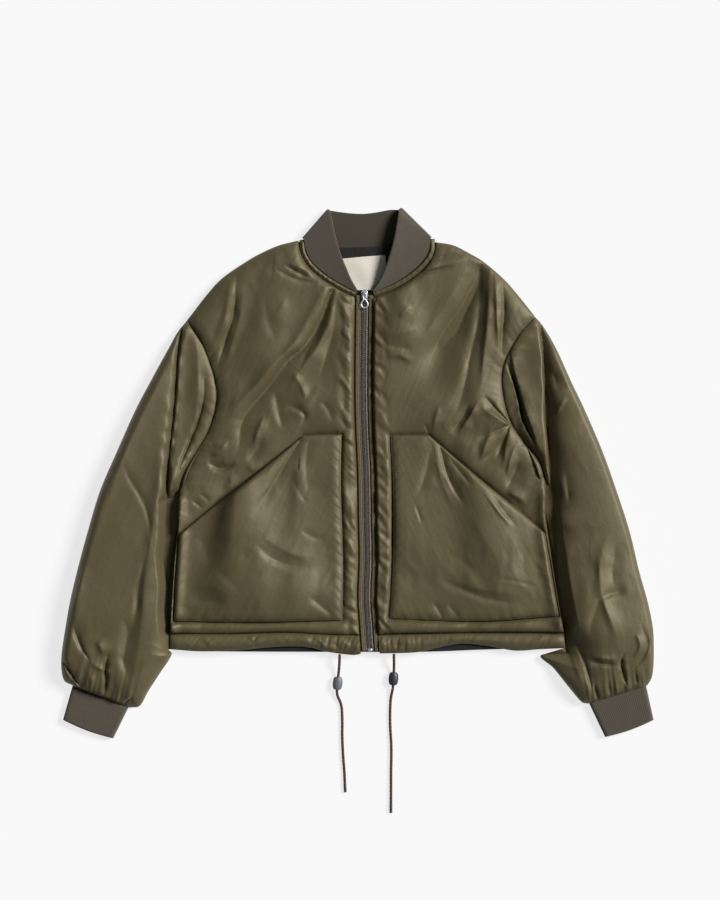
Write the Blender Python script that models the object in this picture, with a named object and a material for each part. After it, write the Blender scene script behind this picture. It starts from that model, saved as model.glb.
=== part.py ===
"""Padded bomber jacket, zipped up and laid flat on its back.

X runs across the jacket with the wearer's left at +X, Y runs from hem to collar, and Z is up from
the surface it lies on.  Everything is in metres.  The back lies on the surface, the fronts lie on
the back, the pockets on the fronts, and each sleeve is a flattened tube beside the body.
"""
import math
from collections import namedtuple

import bmesh
import bpy
import numpy as np

# Walls and clearances
SEAM_GAP = 0.0004          # between two pieces that meet edge to edge
LAYER_GAP = 0.0003         # between two pieces that lie on each other
BACK_THICKNESS = 0.009     # shell, wadding and lining of the back
FRONT_BASE = BACK_THICKNESS + LAYER_GAP
FRONT_THICKNESS = 0.0115   # shell, wadding and lining of a front, where it is fullest
POCKET_SEAT = 0.0160       # height of the front under its pocket
POCKET_THICKNESS = 0.0075
SEAM_THICKNESS = 0.0062    # a front pressed thin beside a seam
EDGE_HEIGHT = 0.0100       # height of the side and shoulder edges, where front meets back
FRONT_EDGE = 0.0022        # thickness of a front at those edges
EDGE_LIFT = 0.0062         # how far the back's underside rises at those edges
SEAM_LIFT = 0.0020         # the same along the armholes
POCKET_RIM = 0.0012        # thickness of a pocket at its edges
POCKET_LEVEL = 0.022       # the front stays level this far round its pocket
POCKET_FADE = 0.045        # and has its own height again this far from it

# How far a panel rounds over before it is at full height
SHOULDER_ROUND = 0.030
SEAM_ROUND = 0.012
BACK_ROUND = 0.015
POCKET_ROUND = 0.020
POCKET_SIDE_ROUND = 0.035

# Neck, zip and hem
BINDING_WIDTH = 0.0078
BINDING_HEIGHT = 0.0068
ZIP_TOP = 0.2482
ZIP_BOTTOM = -0.2490
CHAIN_HALF_WIDTH = 0.0032
CHAIN_BOTTOM = 0.0118
CHAIN_TOP = 0.0152
STOP_LENGTH = 0.0042
STOP_PROUD = 0.0004
TAPE_HALF_WIDTH = 0.0115
TAPE_BOTTOM = 0.0128
TAPE_TOP = 0.0139
PLACKET_INNER = 0.0055     # edge of the placket next to the chain, from the zip's centre line
PLACKET_OUTER = 0.0130
PLACKET_TOP = 0.0172
CASING_THICKNESS = 0.0080
CASING_EDGE = 0.0022       # thickness of the casing along its seam and hem
CASING_LIFT = 0.0040       # how far the back casing's underside rises at the hem
CASING_PUCKERS = 17
CASING_PUCKER_DEPTH = 0.0011
ZIP_PUCKERS = 15
ZIP_PUCKER_DEPTH = 0.0011
ZIP_PUCKER_REACH = 0.030
LINING_THICKNESS = 0.0008
LABEL_THICKNESS = 0.0007

# Ribbed collar and cuffs
RIB_THICKNESS = 0.0042
RIB_PITCH = 0.0042
RIB_DEPTH = 0.0004
CUFF_HEIGHT = 0.0112
CUFF_SLIT = 0.0018
CUFF_RIBS = 18
CUFF_ROUND = 0.006
WING_LOW = 0.0136          # middle height of the collar's wings at their seam
WING_HIGH = 0.0156         # and at their free edge
COLLAR_SEAM_HEIGHT = 0.0047
COLLAR_SEAM_INSET = 0.0008
NECK_MIDDLE = 0.0135       # x of the neck's middle

# Sleeves
SLEEVE_EDGE = 0.0095       # height of the folded edges of a sleeve
SLEEVE_ROUND = 0.045
SLEEVE_WALL = 0.011
SLEEVE_SLIT = 0.0022
SLEEVE_MIDDLE = 0.0088     # height of the flat hollow inside a sleeve
INNER_SECTIONS = (0, 3, 7, 11, 14)
GATHER_WAVES = 6
GATHER_DEPTH = 0.0024

# Slider, pull tab and bottom stop
SLIDER_LENGTH = 0.0115
SLIDER_WIDTH = 0.0092
SLIDER_TOP = 0.2555
SLIDER_PLATE = 0.0013
SLIDER_POST = 0.0018
BAIL_WIDTH = 0.0022
BAIL_WALL = 0.0009
BAIL_SPAN = 0.0052         # outside length of the bail along the zip
BAIL_RISE = 0.0032
BAIL_SINK = 0.0004         # how far the bail's feet run into the slider's top plate
PIVOT_PLAY = 0.0004        # between the pull tab and the slider's top plate
PIVOT_DROP = 0.0050        # pivot of the pull tab below the slider's top end
PIVOT_RADIUS = 0.0006
PULL_LENGTH = 0.0215
PULL_WIDTH = 0.0082
PULL_THICKNESS = 0.0012
PULL_NECK = 0.0028         # half width of the tab beside its window
PULL_WINDOW = 0.0016       # half width of the window
PULL_WINDOW_END = 0.0046
PULL_HOLE = 0.0019         # radius of the hole near the tab's end

# Drawcords
CORD_RADIUS = 0.0020
TOGGLE_LENGTH = 0.0180
TOGGLE_WIDTH = 0.0138
TOGGLE_HEIGHT = 0.0104
TOGGLE_BORE = 0.0026
AGLET_LENGTH = 0.0125
AGLET_RADIUS = 0.0022

# Grid counts
ARMHOLE_CELLS = 16
SIDE_CELLS = 22
NECK_CELLS = 8
FRONT_CELLS_DOWN = ARMHOLE_CELLS + SIDE_CELLS
FRONT_CELLS_ACROSS = 12
BACK_CELLS_ACROSS = 18

# Seam lines seen from above, x and y.  "right" and "left" are the wearer's.
SHOULDER = {
    "right": [(-0.084, 0.3245), (-0.110, 0.318), (-0.135, 0.307), (-0.156, 0.295), (-0.188, 0.273),
              (-0.209, 0.251), (-0.2385, 0.213)],
    "left": [(0.109, 0.3225), (0.134, 0.318), (0.156, 0.307), (0.176, 0.295), (0.202, 0.273),
             (0.222, 0.251), (0.2475, 0.219)],
}
ARMHOLE = {
    "right": [(-0.2385, 0.213), (-0.219, 0.184), (-0.208, 0.158), (-0.199, 0.128), (-0.197, 0.098),
              (-0.208, 0.060), (-0.227, 0.027), (-0.243, -0.002), (-0.2505, -0.030)],
    "left": [(0.2475, 0.219), (0.229, 0.198), (0.213, 0.172), (0.203, 0.148), (0.202, 0.118),
             (0.212, 0.075), (0.231, 0.045), (0.254, 0.016), (0.2635, -0.018)],
}
SIDE = {
    "right": [(-0.2505, -0.030), (-0.252, -0.083), (-0.256, -0.122), (-0.260, -0.180), (-0.2625, -0.224)],
    "left": [(0.2635, -0.018), (0.263, -0.062), (0.270, -0.112), (0.278, -0.164), (0.2885, -0.223)],
}
CASING_SEAM = {
    "right": [(-0.2625, -0.224), (-0.180, -0.2245), (-0.100, -0.2225), (-0.041, -0.2255), (0.0035, -0.226)],
    "left": [(0.2885, -0.223), (0.210, -0.2225), (0.120, -0.2235), (0.049, -0.2245), (0.0295, -0.226)],
}
FRONT_HEM = {
    "right": [(-0.263, -0.246), (-0.221, -0.249), (-0.165, -0.2485), (-0.109, -0.244), (-0.081, -0.2425),
              (-0.053, -0.246), (-0.032, -0.251), (-0.008, -0.254), (0.0045, -0.2525)],
    "left": [(0.290, -0.2445), (0.255, -0.246), (0.220, -0.248), (0.185, -0.242), (0.150, -0.2385),
             (0.129, -0.241), (0.108, -0.246), (0.080, -0.251), (0.0310, -0.2520)],
}
BACK_HEM = [(-0.263, -0.246), (-0.151, -0.2525), (-0.039, -0.2545), (0.067, -0.2550), (0.171, -0.2525),
            (0.290, -0.2455)]
BACK_NECK = [(-0.084, 0.3245), (-0.072, 0.3185), (-0.053, 0.3140), (-0.023, 0.3105), (0.010, 0.3090),
             (0.048, 0.3105), (0.078, 0.3140), (0.098, 0.3180), (0.109, 0.3225)]
NECKLINE = {
    "right": [(-0.0020, 0.2535), (-0.011, 0.2575), (-0.025, 0.2650), (-0.044, 0.2770), (-0.060, 0.2905),
              (-0.069, 0.3030), (-0.073, 0.3130), (-0.0745, 0.3215)],
    "left": [(0.0215, 0.2535), (0.036, 0.2590), (0.052, 0.2660), (0.069, 0.2765), (0.085, 0.2895),
             (0.0955, 0.3020), (0.1000, 0.3120), (0.1015, 0.3210)],
}
COLLAR_FREE_EDGE = {
    "right": [(-0.0005, 0.2575), (-0.006, 0.2690), (-0.013, 0.2860), (-0.022, 0.3070), (-0.029, 0.3290),
              (-0.0325, 0.3480), (-0.0345, 0.3672)],
    "left": [(0.0205, 0.2575), (0.029, 0.2690), (0.038, 0.2870), (0.047, 0.3070), (0.0535, 0.3290),
             (0.0565, 0.3480), (0.0585, 0.3672)],
}
COLLAR_BACK_SEAM = [(-0.0745, 0.3215), (-0.053, 0.3158), (-0.023, 0.3122), (0.010, 0.3107),
                    (0.048, 0.3122), (0.078, 0.3158), (0.1015, 0.3210)]
COLLAR_BACK_TOP = [(-0.0345, 0.3672), (-0.014, 0.3600), (0.012, 0.3570), (0.038, 0.3600), (0.0585, 0.3672)]
ZIP_LINE = [(0.0095, 0.262), (0.0080, 0.134), (0.0090, 0.067), (0.0120, -0.001), (0.0130, -0.069),
            (0.0140, -0.120), (0.0122, -0.171), (0.0140, -0.204), (0.0178, -0.256)]
POCKET_TOP = {
    "right": [(-0.076, 0.0520), (-0.049, 0.0535), (-0.0220, 0.0540)],
    "left": [(0.099, 0.0530), (0.072, 0.0530), (0.0450, 0.0525)],
}
POCKET_INNER = {
    "right": [(-0.0220, 0.0540), (-0.0230, -0.010), (-0.0210, -0.088), (-0.0200, -0.147), (-0.0215, -0.206)],
    "left": [(0.0450, 0.0525), (0.0480, -0.010), (0.0490, -0.088), (0.0460, -0.167), (0.0430, -0.2035)],
}
POCKET_BOTTOM = {
    "right": [(-0.257, -0.2075), (-0.140, -0.2085), (-0.0215, -0.2060)],
    "left": [(0.2810, -0.2000), (0.170, -0.2075), (0.0430, -0.2035)],
}
POCKET_SLANT = {
    "right": [(-0.076, 0.0520), (-0.153, -0.010), (-0.208, -0.0515), (-0.2490, -0.0860)],
    "left": [(0.099, 0.0530), (0.173, -0.010), (0.227, -0.0540), (0.2615, -0.0840)],
}
POCKET_SIDE = {
    "right": [(-0.2490, -0.0860), (-0.2535, -0.145), (-0.257, -0.2075)],
    "left": [(0.2615, -0.0840), (0.2715, -0.145), (0.2810, -0.2000)],
}
POCKET_SLANT_CELLS = 12
POCKET_SIDE_CELLS = 6
POCKET_CELLS_ACROSS = 8

# Folds: a trough (depth below zero) or ridge along a bent line across one piece
Fold = namedtuple("Fold", "x0 y0 x1 y1 bend width depth")
FOLDS = {
    "front_right": [
        Fold(-0.040, 0.225, -0.215, 0.000, -0.018, 0.030, -0.0042),
        Fold(-0.060, 0.245, -0.190, 0.060, 0.012, 0.034, 0.0040),
        Fold(-0.172, 0.265, -0.205, 0.150, 0.012, 0.026, -0.0034),
        Fold(-0.120, 0.290, -0.150, 0.175, -0.010, 0.040, 0.0032),
        Fold(-0.020, 0.120, -0.120, 0.075, 0.006, 0.028, 0.0026),
    ],
    "front_left": [
        Fold(0.158, 0.285, 0.112, 0.125, 0.012, 0.032, -0.0040),
        Fold(0.197, 0.262, 0.196, 0.150, 0.004, 0.026, -0.0038),
        Fold(0.176, 0.275, 0.168, 0.160, 0.003, 0.030, 0.0036),
        Fold(0.060, 0.235, 0.110, 0.085, -0.014, 0.040, 0.0034),
        Fold(0.212, 0.075, 0.245, -0.030, -0.010, 0.030, -0.0036),
    ],
    "sleeve_right": [
        Fold(-0.246, 0.196, -0.262, -0.040, -0.008, 0.030, -0.0085),
        Fold(-0.262, 0.150, -0.345, -0.120, -0.016, 0.055, 0.0050),
        Fold(-0.264, -0.050, -0.300, -0.250, -0.010, 0.040, 0.0040),
        Fold(-0.348, -0.252, -0.356, -0.305, 0.004, 0.024, -0.0070),
        Fold(-0.408, -0.258, -0.388, -0.292, 0.003, 0.024, -0.0060),
    ],
    "sleeve_left": [
        Fold(0.216, 0.148, 0.262, 0.035, 0.012, 0.024, -0.0070),
        Fold(0.270, 0.160, 0.352, -0.110, 0.014, 0.055, 0.0050),
        Fold(0.275, -0.060, 0.310, -0.230, 0.010, 0.045, 0.0040),
        Fold(0.368, -0.262, 0.366, -0.300, 0.003, 0.024, -0.0070),
        Fold(0.402, -0.240, 0.378, -0.296, 0.004, 0.024, -0.0060),
        Fold(0.268, -0.252, 0.318, -0.314, 0.000, 0.050, -0.0120),
    ],
}

# Sleeve sections from armhole to cuff: both folded edges, the crown's height, and how far the
# section's middle bows towards the body
Section = namedtuple("Section", "outer_x outer_y inner_x inner_y crown bow")
SLEEVE = {
    "right": [
        Section(-0.2520, 0.1960, -0.2535, -0.0450, 0.0200, 0.042),
        Section(-0.2660, 0.1710, -0.2545, -0.0610, 0.0250, 0.033),
        Section(-0.2890, 0.1290, -0.2550, -0.0800, 0.0290, 0.024),
        Section(-0.3110, 0.0870, -0.2570, -0.1020, 0.0310, 0.018),
        Section(-0.3360, 0.0310, -0.2595, -0.1280, 0.0320, 0.013),
        Section(-0.3600, -0.0250, -0.2620, -0.1560, 0.0325, 0.009),
        Section(-0.3770, -0.0810, -0.2640, -0.1860, 0.0330, 0.006),
        Section(-0.3920, -0.1370, -0.2655, -0.2160, 0.0335, 0.003),
        Section(-0.4020, -0.1800, -0.2660, -0.2440, 0.0335, 0.000),
        Section(-0.4085, -0.2170, -0.2600, -0.2540, 0.0330, 0.000),
        Section(-0.4135, -0.2510, -0.2770, -0.2810, 0.0315, -0.002),
        Section(-0.4140, -0.2740, -0.2925, -0.3050, 0.0280, -0.002),
        Section(-0.4100, -0.2900, -0.3040, -0.3250, 0.0210, -0.001),
        Section(-0.4005, -0.2960, -0.3180, -0.3280, 0.0130, 0.000),
    ],
    "left": [
        Section(0.2600, 0.2040, 0.2665, -0.0340, 0.0200, 0.042),
        Section(0.2780, 0.1730, 0.2670, -0.0520, 0.0250, 0.033),
        Section(0.2980, 0.1290, 0.2680, -0.0720, 0.0290, 0.024),
        Section(0.3180, 0.0870, 0.2715, -0.0950, 0.0310, 0.018),
        Section(0.3420, 0.0310, 0.2755, -0.1220, 0.0320, 0.013),
        Section(0.3620, -0.0250, 0.2800, -0.1510, 0.0325, 0.009),
        Section(0.3800, -0.0810, 0.2850, -0.1830, 0.0330, 0.006),
        Section(0.3935, -0.1370, 0.2900, -0.2130, 0.0335, 0.003),
        Section(0.4055, -0.1800, 0.2940, -0.2490, 0.0335, 0.000),
        Section(0.4125, -0.2150, 0.2560, -0.2550, 0.0330, 0.000),
        Section(0.4140, -0.2430, 0.2740, -0.2730, 0.0310, -0.002),
        Section(0.4135, -0.2690, 0.2940, -0.2980, 0.0270, -0.002),
        Section(0.4110, -0.2860, 0.3120, -0.3190, 0.0210, -0.001),
        Section(0.4055, -0.2965, 0.3215, -0.3225, 0.0130, 0.000),
    ],
}
CUFF_END = {
    "right": ((-0.4120, -0.3450), (-0.3415, -0.3710)),
    "left": ((0.4140, -0.3450), (0.3460, -0.3690)),
}
CUFF_INSET = 0.025         # share of the sleeve's end that the cuff stands in at each side

# Drawcord routes from the hem to the tip
CORD_ROUTE = {
    "right": [(-0.0250, -0.2532, 0.0130), (-0.0252, -0.2600, 0.0122), (-0.0256, -0.2690, 0.0090),
              (-0.0264, -0.2780, 0.0062), (-0.0272, -0.2850, 0.0053), (-0.0280, -0.2950, 0.0053),
              (-0.0288, -0.3050, 0.0053), (-0.0280, -0.3120, 0.0040), (-0.0248, -0.3190, 0.0024),
              (-0.0222, -0.3290, 0.0021), (-0.0214, -0.3480, 0.0021), (-0.0215, -0.3660, 0.0021),
              (-0.0209, -0.3840, 0.0021), (-0.0198, -0.4020, 0.0021), (-0.0186, -0.4170, 0.0021),
              (-0.0178, -0.4340, 0.0021)],
    "left": [(0.0508, -0.2526, 0.0130), (0.0508, -0.2590, 0.0122), (0.0510, -0.2660, 0.0088),
             (0.0509, -0.2730, 0.0062), (0.0506, -0.2800, 0.0053), (0.0500, -0.2900, 0.0053),
             (0.0494, -0.3000, 0.0053), (0.0480, -0.3075, 0.0038), (0.0464, -0.3160, 0.0023),
             (0.0456, -0.3300, 0.0021), (0.0454, -0.3460, 0.0021), (0.0460, -0.3620, 0.0021),
             (0.0470, -0.3780, 0.0021), (0.0472, -0.3960, 0.0021), (0.0468, -0.4180, 0.0021),
             (0.0468, -0.4400, 0.0021), (0.0467, -0.4630, 0.0021)],
}
TOGGLE_PLACE = {"right": (-0.0280, -0.2950), "left": (0.0500, -0.2900)}
CORD_POINTS = 36

# Finishes: colour, roughness and metallic value
Finish = namedtuple("Finish", "colour roughness metallic")
FINISHES = {
    "olive_nylon": Finish((0.105, 0.092, 0.050), 0.42, 0.0),
    "rib_knit": Finish((0.085, 0.072, 0.050), 0.90, 0.0),
    "black_lining": Finish((0.012, 0.012, 0.015), 0.50, 0.0),
    "cotton_label": Finish((0.690, 0.640, 0.570), 0.85, 0.0),
    "zip_tape": Finish((0.110, 0.088, 0.068), 0.85, 0.0),
    "gunmetal_zip": Finish((0.090, 0.095, 0.105), 0.40, 1.0),
    "nickel_slider": Finish((0.500, 0.500, 0.540), 0.30, 1.0),
    "braided_cord": Finish((0.065, 0.042, 0.030), 0.90, 0.0),
    "toggle_plastic": Finish((0.070, 0.075, 0.085), 0.45, 0.0),
}


def clear_scene():
    """Remove every object of the start-up scene."""
    for item in list(bpy.data.objects):
        bpy.data.objects.remove(item, do_unlink=True)


def make_material(name):
    """Principled material for one of the finishes."""
    finish = FINISHES[name]
    material = bpy.data.materials.get(name) or bpy.data.materials.new(name)
    material.use_nodes = True
    shader = material.node_tree.nodes["Principled BSDF"]
    shader.inputs["Base Color"].default_value = (*finish.colour, 1.0)
    shader.inputs["Roughness"].default_value = finish.roughness
    shader.inputs["Metallic"].default_value = finish.metallic
    return material


def add_mesh(name, points, faces, finish, origin=(0.0, 0.0, 0.0)):
    """Object from points and faces, smooth-shaded, with its normals outwards and its origin placed."""
    mesh = bpy.data.meshes.new(name)
    shift = np.asarray(origin, dtype=float)
    mesh.from_pydata((np.asarray(points, dtype=float) - shift).tolist(), [], faces)
    shape = bmesh.new()
    shape.from_mesh(mesh)
    bmesh.ops.recalc_face_normals(shape, faces=shape.faces)
    shape.to_mesh(mesh)
    shape.free()
    mesh.shade_smooth()
    mesh.set_sharp_from_angle(angle=math.radians(40.0))
    mesh.materials.append(make_material(finish))
    item = bpy.data.objects.new(name, mesh)
    item.location = origin
    bpy.context.scene.collection.objects.link(item)
    return item


def smooth_line(points, count, spread=None):
    """Catmull-Rom curve through the points, read at count places spread along its length.

    spread gives those places from 0 to 1; without it they are even.
    """
    knots = np.asarray(points, dtype=float)
    padded = np.vstack([2 * knots[0] - knots[1], knots, 2 * knots[-1] - knots[-2]])
    fine = 24
    t = np.linspace(0.0, 1.0, fine, endpoint=False)[:, None]
    pieces = []
    for k in range(len(knots) - 1):
        a, b, c, d = padded[k:k + 4]
        pieces.append(0.5 * (2 * b + (c - a) * t + (2 * a - 5 * b + 4 * c - d) * t ** 2
                             + (3 * b - a - 3 * c + d) * t ** 3))
    dense = np.vstack(pieces + [knots[-1:]])
    steps = np.linalg.norm(np.diff(dense, axis=0), axis=1)
    along = np.concatenate([[0.0], np.cumsum(steps)])
    places = (np.linspace(0.0, 1.0, count) if spread is None else spread) * along[-1]
    return np.stack([np.interp(places, along, dense[:, k]) for k in range(knots.shape[1])], axis=1)


def rounded_spread(cells):
    """Places from 0 to 1 that crowd together at both ends, for a round edge there."""
    even = np.linspace(0.0, 1.0, cells + 1)
    return 0.55 * (1.0 - np.cos(math.pi * even)) / 2.0 + 0.45 * even


def side_normals(line):
    """Unit vectors to the left of an open line, in plan."""
    slope = np.gradient(line[:, :2], axis=0)
    slope /= np.linalg.norm(slope, axis=1)[:, None]
    return np.stack([-slope[:, 1], slope[:, 0]], axis=1)


def moved_sideways(line, distance):
    """The line moved to its left by a distance, or to its right where that is below zero."""
    return line + side_normals(line) * np.asarray(distance).reshape(-1, 1)


def patch(top, right, bottom, left):
    """Grid of plan points between four edges: top and bottom run left to right, the sides run down."""
    rows, columns = len(left), len(top)
    u = np.linspace(0.0, 1.0, columns)[None, :, None]
    v = np.linspace(0.0, 1.0, rows)[:, None, None]
    across = (1 - v) * top[None] + v * bottom[None]
    down = (1 - u) * left[:, None] + u * right[:, None]
    corners = ((1 - u) * (1 - v) * top[0] + u * (1 - v) * top[-1]
               + (1 - u) * v * bottom[0] + u * v * bottom[-1])
    return across + down - corners


def distance_to(points, line):
    """Plan distance from each point of an array to an open line."""
    flat = points.reshape(-1, 1, 2)
    start, end = line[:-1, :2][None], line[1:, :2][None]
    run = end - start
    t = np.clip(((flat - start) * run).sum(-1) / np.maximum((run ** 2).sum(-1), 1e-12), 0.0, 1.0)
    gap = np.linalg.norm(flat - start - t[..., None] * run, axis=-1)
    return gap.min(axis=1).reshape(points.shape[:-1])


def round_over(distance, radius):
    """Quarter-round from 0 at an edge to 1 at the radius."""
    x = np.clip(distance / radius, 0.0, 1.0)
    return np.sqrt(np.maximum(1.0 - (1.0 - x) ** 2, 0.0))


def blend_step(x, low, high):
    """Smooth step from 0 at low to 1 at high."""
    t = np.clip((x - low) / (high - low), 0.0, 1.0)
    return t * t * (3.0 - 2.0 * t)


def fold_relief(points, folds):
    """Height that the folds add at each plan point: a soft bell across, fading to both ends."""
    total = np.zeros(points.shape[:-1])
    for fold in folds:
        start = np.array([fold.x0, fold.y0])
        run = np.array([fold.x1, fold.y1]) - start
        length = np.linalg.norm(run)
        along_axis = run / length
        side_axis = np.array([-along_axis[1], along_axis[0]])
        offset = points - start
        t = (offset @ along_axis) / length
        inside = np.clip(t, 0.0, 1.0)
        sideways = offset @ side_axis - fold.bend * 4.0 * inside * (1.0 - inside)
        beyond = (t - inside) * length
        reach = fold.width / 2.0
        fade = np.sin(math.pi * (0.08 + 0.84 * inside)) ** 0.7
        total += fold.depth * fade * np.exp(-(sideways / reach) ** 2 - (beyond / reach) ** 2)
    return total


def laid_piece(name, plan, top, bottom, finish):
    """Closed solid over a plan grid: top heights on the grid, and an underside on it or flat.

    bottom is one height for a flat underside, made as one face, or a grid of heights.
    """
    rows, columns = plan.shape[:2]
    upper = np.dstack([plan, np.broadcast_to(top, (rows, columns))]).reshape(-1, 3)
    flat_bottom = np.isscalar(bottom)
    lower = np.dstack([plan, np.broadcast_to(bottom, (rows, columns))]).reshape(-1, 3)
    index = np.arange(rows * columns).reshape(rows, columns)
    rim = np.concatenate([index[0, :-1], index[:-1, -1], index[-1, :0:-1], index[:0:-1, 0]])
    a, b = index[:-1, :-1].ravel(), index[:-1, 1:].ravel()
    c, d = index[1:, 1:].ravel(), index[1:, :-1].ravel()
    faces = np.stack([d, c, b, a], axis=1).tolist()
    if flat_bottom:
        points = np.vstack([upper, lower[rim]])
        low_rim = np.arange(len(rim)) + len(upper)
        faces.append(low_rim.tolist())
    else:
        points = np.vstack([upper, lower])
        low_rim = rim + len(upper)
        faces += (np.stack([a, b, c, d], axis=1) + len(upper)).tolist()
    following = np.roll(np.arange(len(rim)), -1)
    faces += np.stack([rim, rim[following], low_rim[following], low_rim], axis=1).tolist()
    return add_mesh(name, points, faces, finish)


def swept_bar(name, line, profile, finish):
    """Closed bar with one profile of side offset and height along a plan line.

    profile holds (offset to the line's left, height) pairs in order round the section.
    """
    sections = []
    for offset, height in profile:
        ring = moved_sideways(line, np.full(len(line), offset))
        sections.append(np.column_stack([ring, np.full(len(line), height)]))
    rings = np.stack(sections, axis=1)
    return closed_rings(name, rings, finish)


def closed_rings(name, rings, finish, origin=(0.0, 0.0, 0.0)):
    """Closed solid through rings of equal point counts, with a flat cap at each end."""
    count, size = rings.shape[:2]
    index = np.arange(count * size).reshape(count, size)
    after = np.roll(index, -1, axis=1)
    faces = np.stack([index[:-1], after[:-1], after[1:], index[1:]], axis=-1).reshape(-1, 4).tolist()
    faces.append(index[0, ::-1].tolist())
    faces.append(index[-1].tolist())
    return add_mesh(name, rings.reshape(-1, 3), faces, finish, origin)


def tube_piece(name, outer, inner, finish):
    """Closed tube wall between outer and inner rings, whose end rings are joined point to point.

    The inner side may have fewer rings than the outer one, but each ring has the same count.
    """
    size = outer.shape[1]
    outer_index = np.arange(outer.shape[0] * size).reshape(-1, size)
    inner_index = np.arange(inner.shape[0] * size).reshape(-1, size) + outer_index.size
    faces = []
    for index in (outer_index, inner_index):
        after = np.roll(index, -1, axis=1)
        faces += np.stack([index[:-1], after[:-1], after[1:], index[1:]], axis=-1).reshape(-1, 4).tolist()
    for end in (0, -1):
        a, b = outer_index[end], inner_index[end]
        faces += np.stack([a, np.roll(a, -1), np.roll(b, -1), b], axis=1).tolist()
    points = np.vstack([outer.reshape(-1, 3), inner.reshape(-1, 3)])
    return add_mesh(name, points, faces, finish)


def hand(side):
    """-1 for the wearer's right, which lies at -X, and 1 for the left."""
    return -1.0 if side == "right" else 1.0


def armhole_line(side):
    """Armhole seam from shoulder to underarm, read where body and sleeve both have their points."""
    return smooth_line(ARMHOLE[side], ARMHOLE_CELLS + 1, rounded_spread(ARMHOLE_CELLS))


def body_edge(side):
    """Armhole and side seam of the body from shoulder to casing, half a seam gap inside the seam."""
    side_line = smooth_line(SIDE[side], SIDE_CELLS + 1)
    side_line[-1, 1] += 0.5 * SEAM_GAP
    whole = np.vstack([armhole_line(side), side_line[1:]])
    return moved_sideways(whole, np.full(len(whole), -0.5 * hand(side) * SEAM_GAP))


def zip_edge(side, offset, count, top=ZIP_TOP, bottom=ZIP_BOTTOM):
    """Line beside the zip's centre line from top to bottom."""
    return zip_centre(count, top, bottom) + (hand(side) * offset, 0.0)


def zip_centre(count, top=ZIP_TOP, bottom=ZIP_BOTTOM):
    """Centre line of the zip between two heights, read at evenly spaced y."""
    dense = smooth_line(ZIP_LINE, 400)
    y = np.linspace(top, bottom, count)
    return np.column_stack([np.interp(-y, -dense[:, 1], dense[:, 0]), y])


def seam_height(line):
    """Height of the body's outer surface along its armhole, low at both ends."""
    steps = np.linalg.norm(np.diff(line, axis=0), axis=1)
    along = np.concatenate([[0.0], np.cumsum(steps)])
    from_end = np.minimum(along, along[-1] - along)
    rise = round_over(from_end, SHOULDER_ROUND)
    return EDGE_HEIGHT + (FRONT_BASE + SEAM_THICKNESS - EDGE_HEIGHT) * rise


def neck_outer(side):
    """Seam between neck binding and front, from shoulder to centre front."""
    inner = smooth_line(NECKLINE[side], NECK_CELLS + 1)[::-1]
    return moved_sideways(inner, np.full(len(inner), hand(side) * (BINDING_WIDTH + SEAM_GAP)))


def pocket_plan(side):
    """Plan grid of a pocket, between its top, inner edge, bottom and slanted outer edge."""
    outer = np.vstack([smooth_line(POCKET_SLANT[side], POCKET_SLANT_CELLS + 1),
                       smooth_line(POCKET_SIDE[side], POCKET_SIDE_CELLS + 1)[1:]])
    inner = smooth_line(POCKET_INNER[side], len(outer))
    top = smooth_line(POCKET_TOP[side], POCKET_CELLS_ACROSS + 1)
    bottom = smooth_line(POCKET_BOTTOM[side], POCKET_CELLS_ACROSS + 1)
    return patch(top, inner, bottom, outer)


def outline_of(plan):
    """Closed outline of a plan grid."""
    return np.vstack([plan[0], plan[1:, -1], plan[-1, ::-1][1:], plan[::-1, 0][1:]])


def inside_outline(points, outline):
    """True where a plan point lies inside a closed outline, by counting crossings."""
    x, y = points[..., 0, None], points[..., 1, None]
    x0, y0 = outline[:-1, 0], outline[:-1, 1]
    x1, y1 = outline[1:, 0], outline[1:, 1]
    spans = (y0 > y) != (y1 > y)
    rise = np.where(y1 == y0, 1.0, y1 - y0)
    crossing = x < x0 + (y - y0) * (x1 - x0) / rise
    return (spans & crossing).sum(axis=-1) % 2 == 1


def front_plan(side):
    """Plan grid of a front, from shoulder to casing and from the side to the placket."""
    outer = body_edge(side)
    neck = neck_outer(side)
    centre_cells = FRONT_CELLS_DOWN - NECK_CELLS
    centre = zip_edge(side, PLACKET_OUTER + SEAM_GAP, centre_cells + 1, neck[-1, 1] - 0.004, -0.2255)
    inner = np.vstack([neck, centre[1:]])
    inner[-1, 1] = CASING_SEAM[side][-1][1] + 0.5 * SEAM_GAP
    top = smooth_line(SHOULDER[side][::-1], FRONT_CELLS_ACROSS + 1)
    top[0], top[-1] = outer[0], inner[0]
    bottom = smooth_line(CASING_SEAM[side], FRONT_CELLS_ACROSS + 1)
    bottom[:, 1] += 0.5 * SEAM_GAP
    bottom[0], bottom[-1] = outer[-1], inner[-1]
    return patch(top, inner, bottom, outer)


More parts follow.
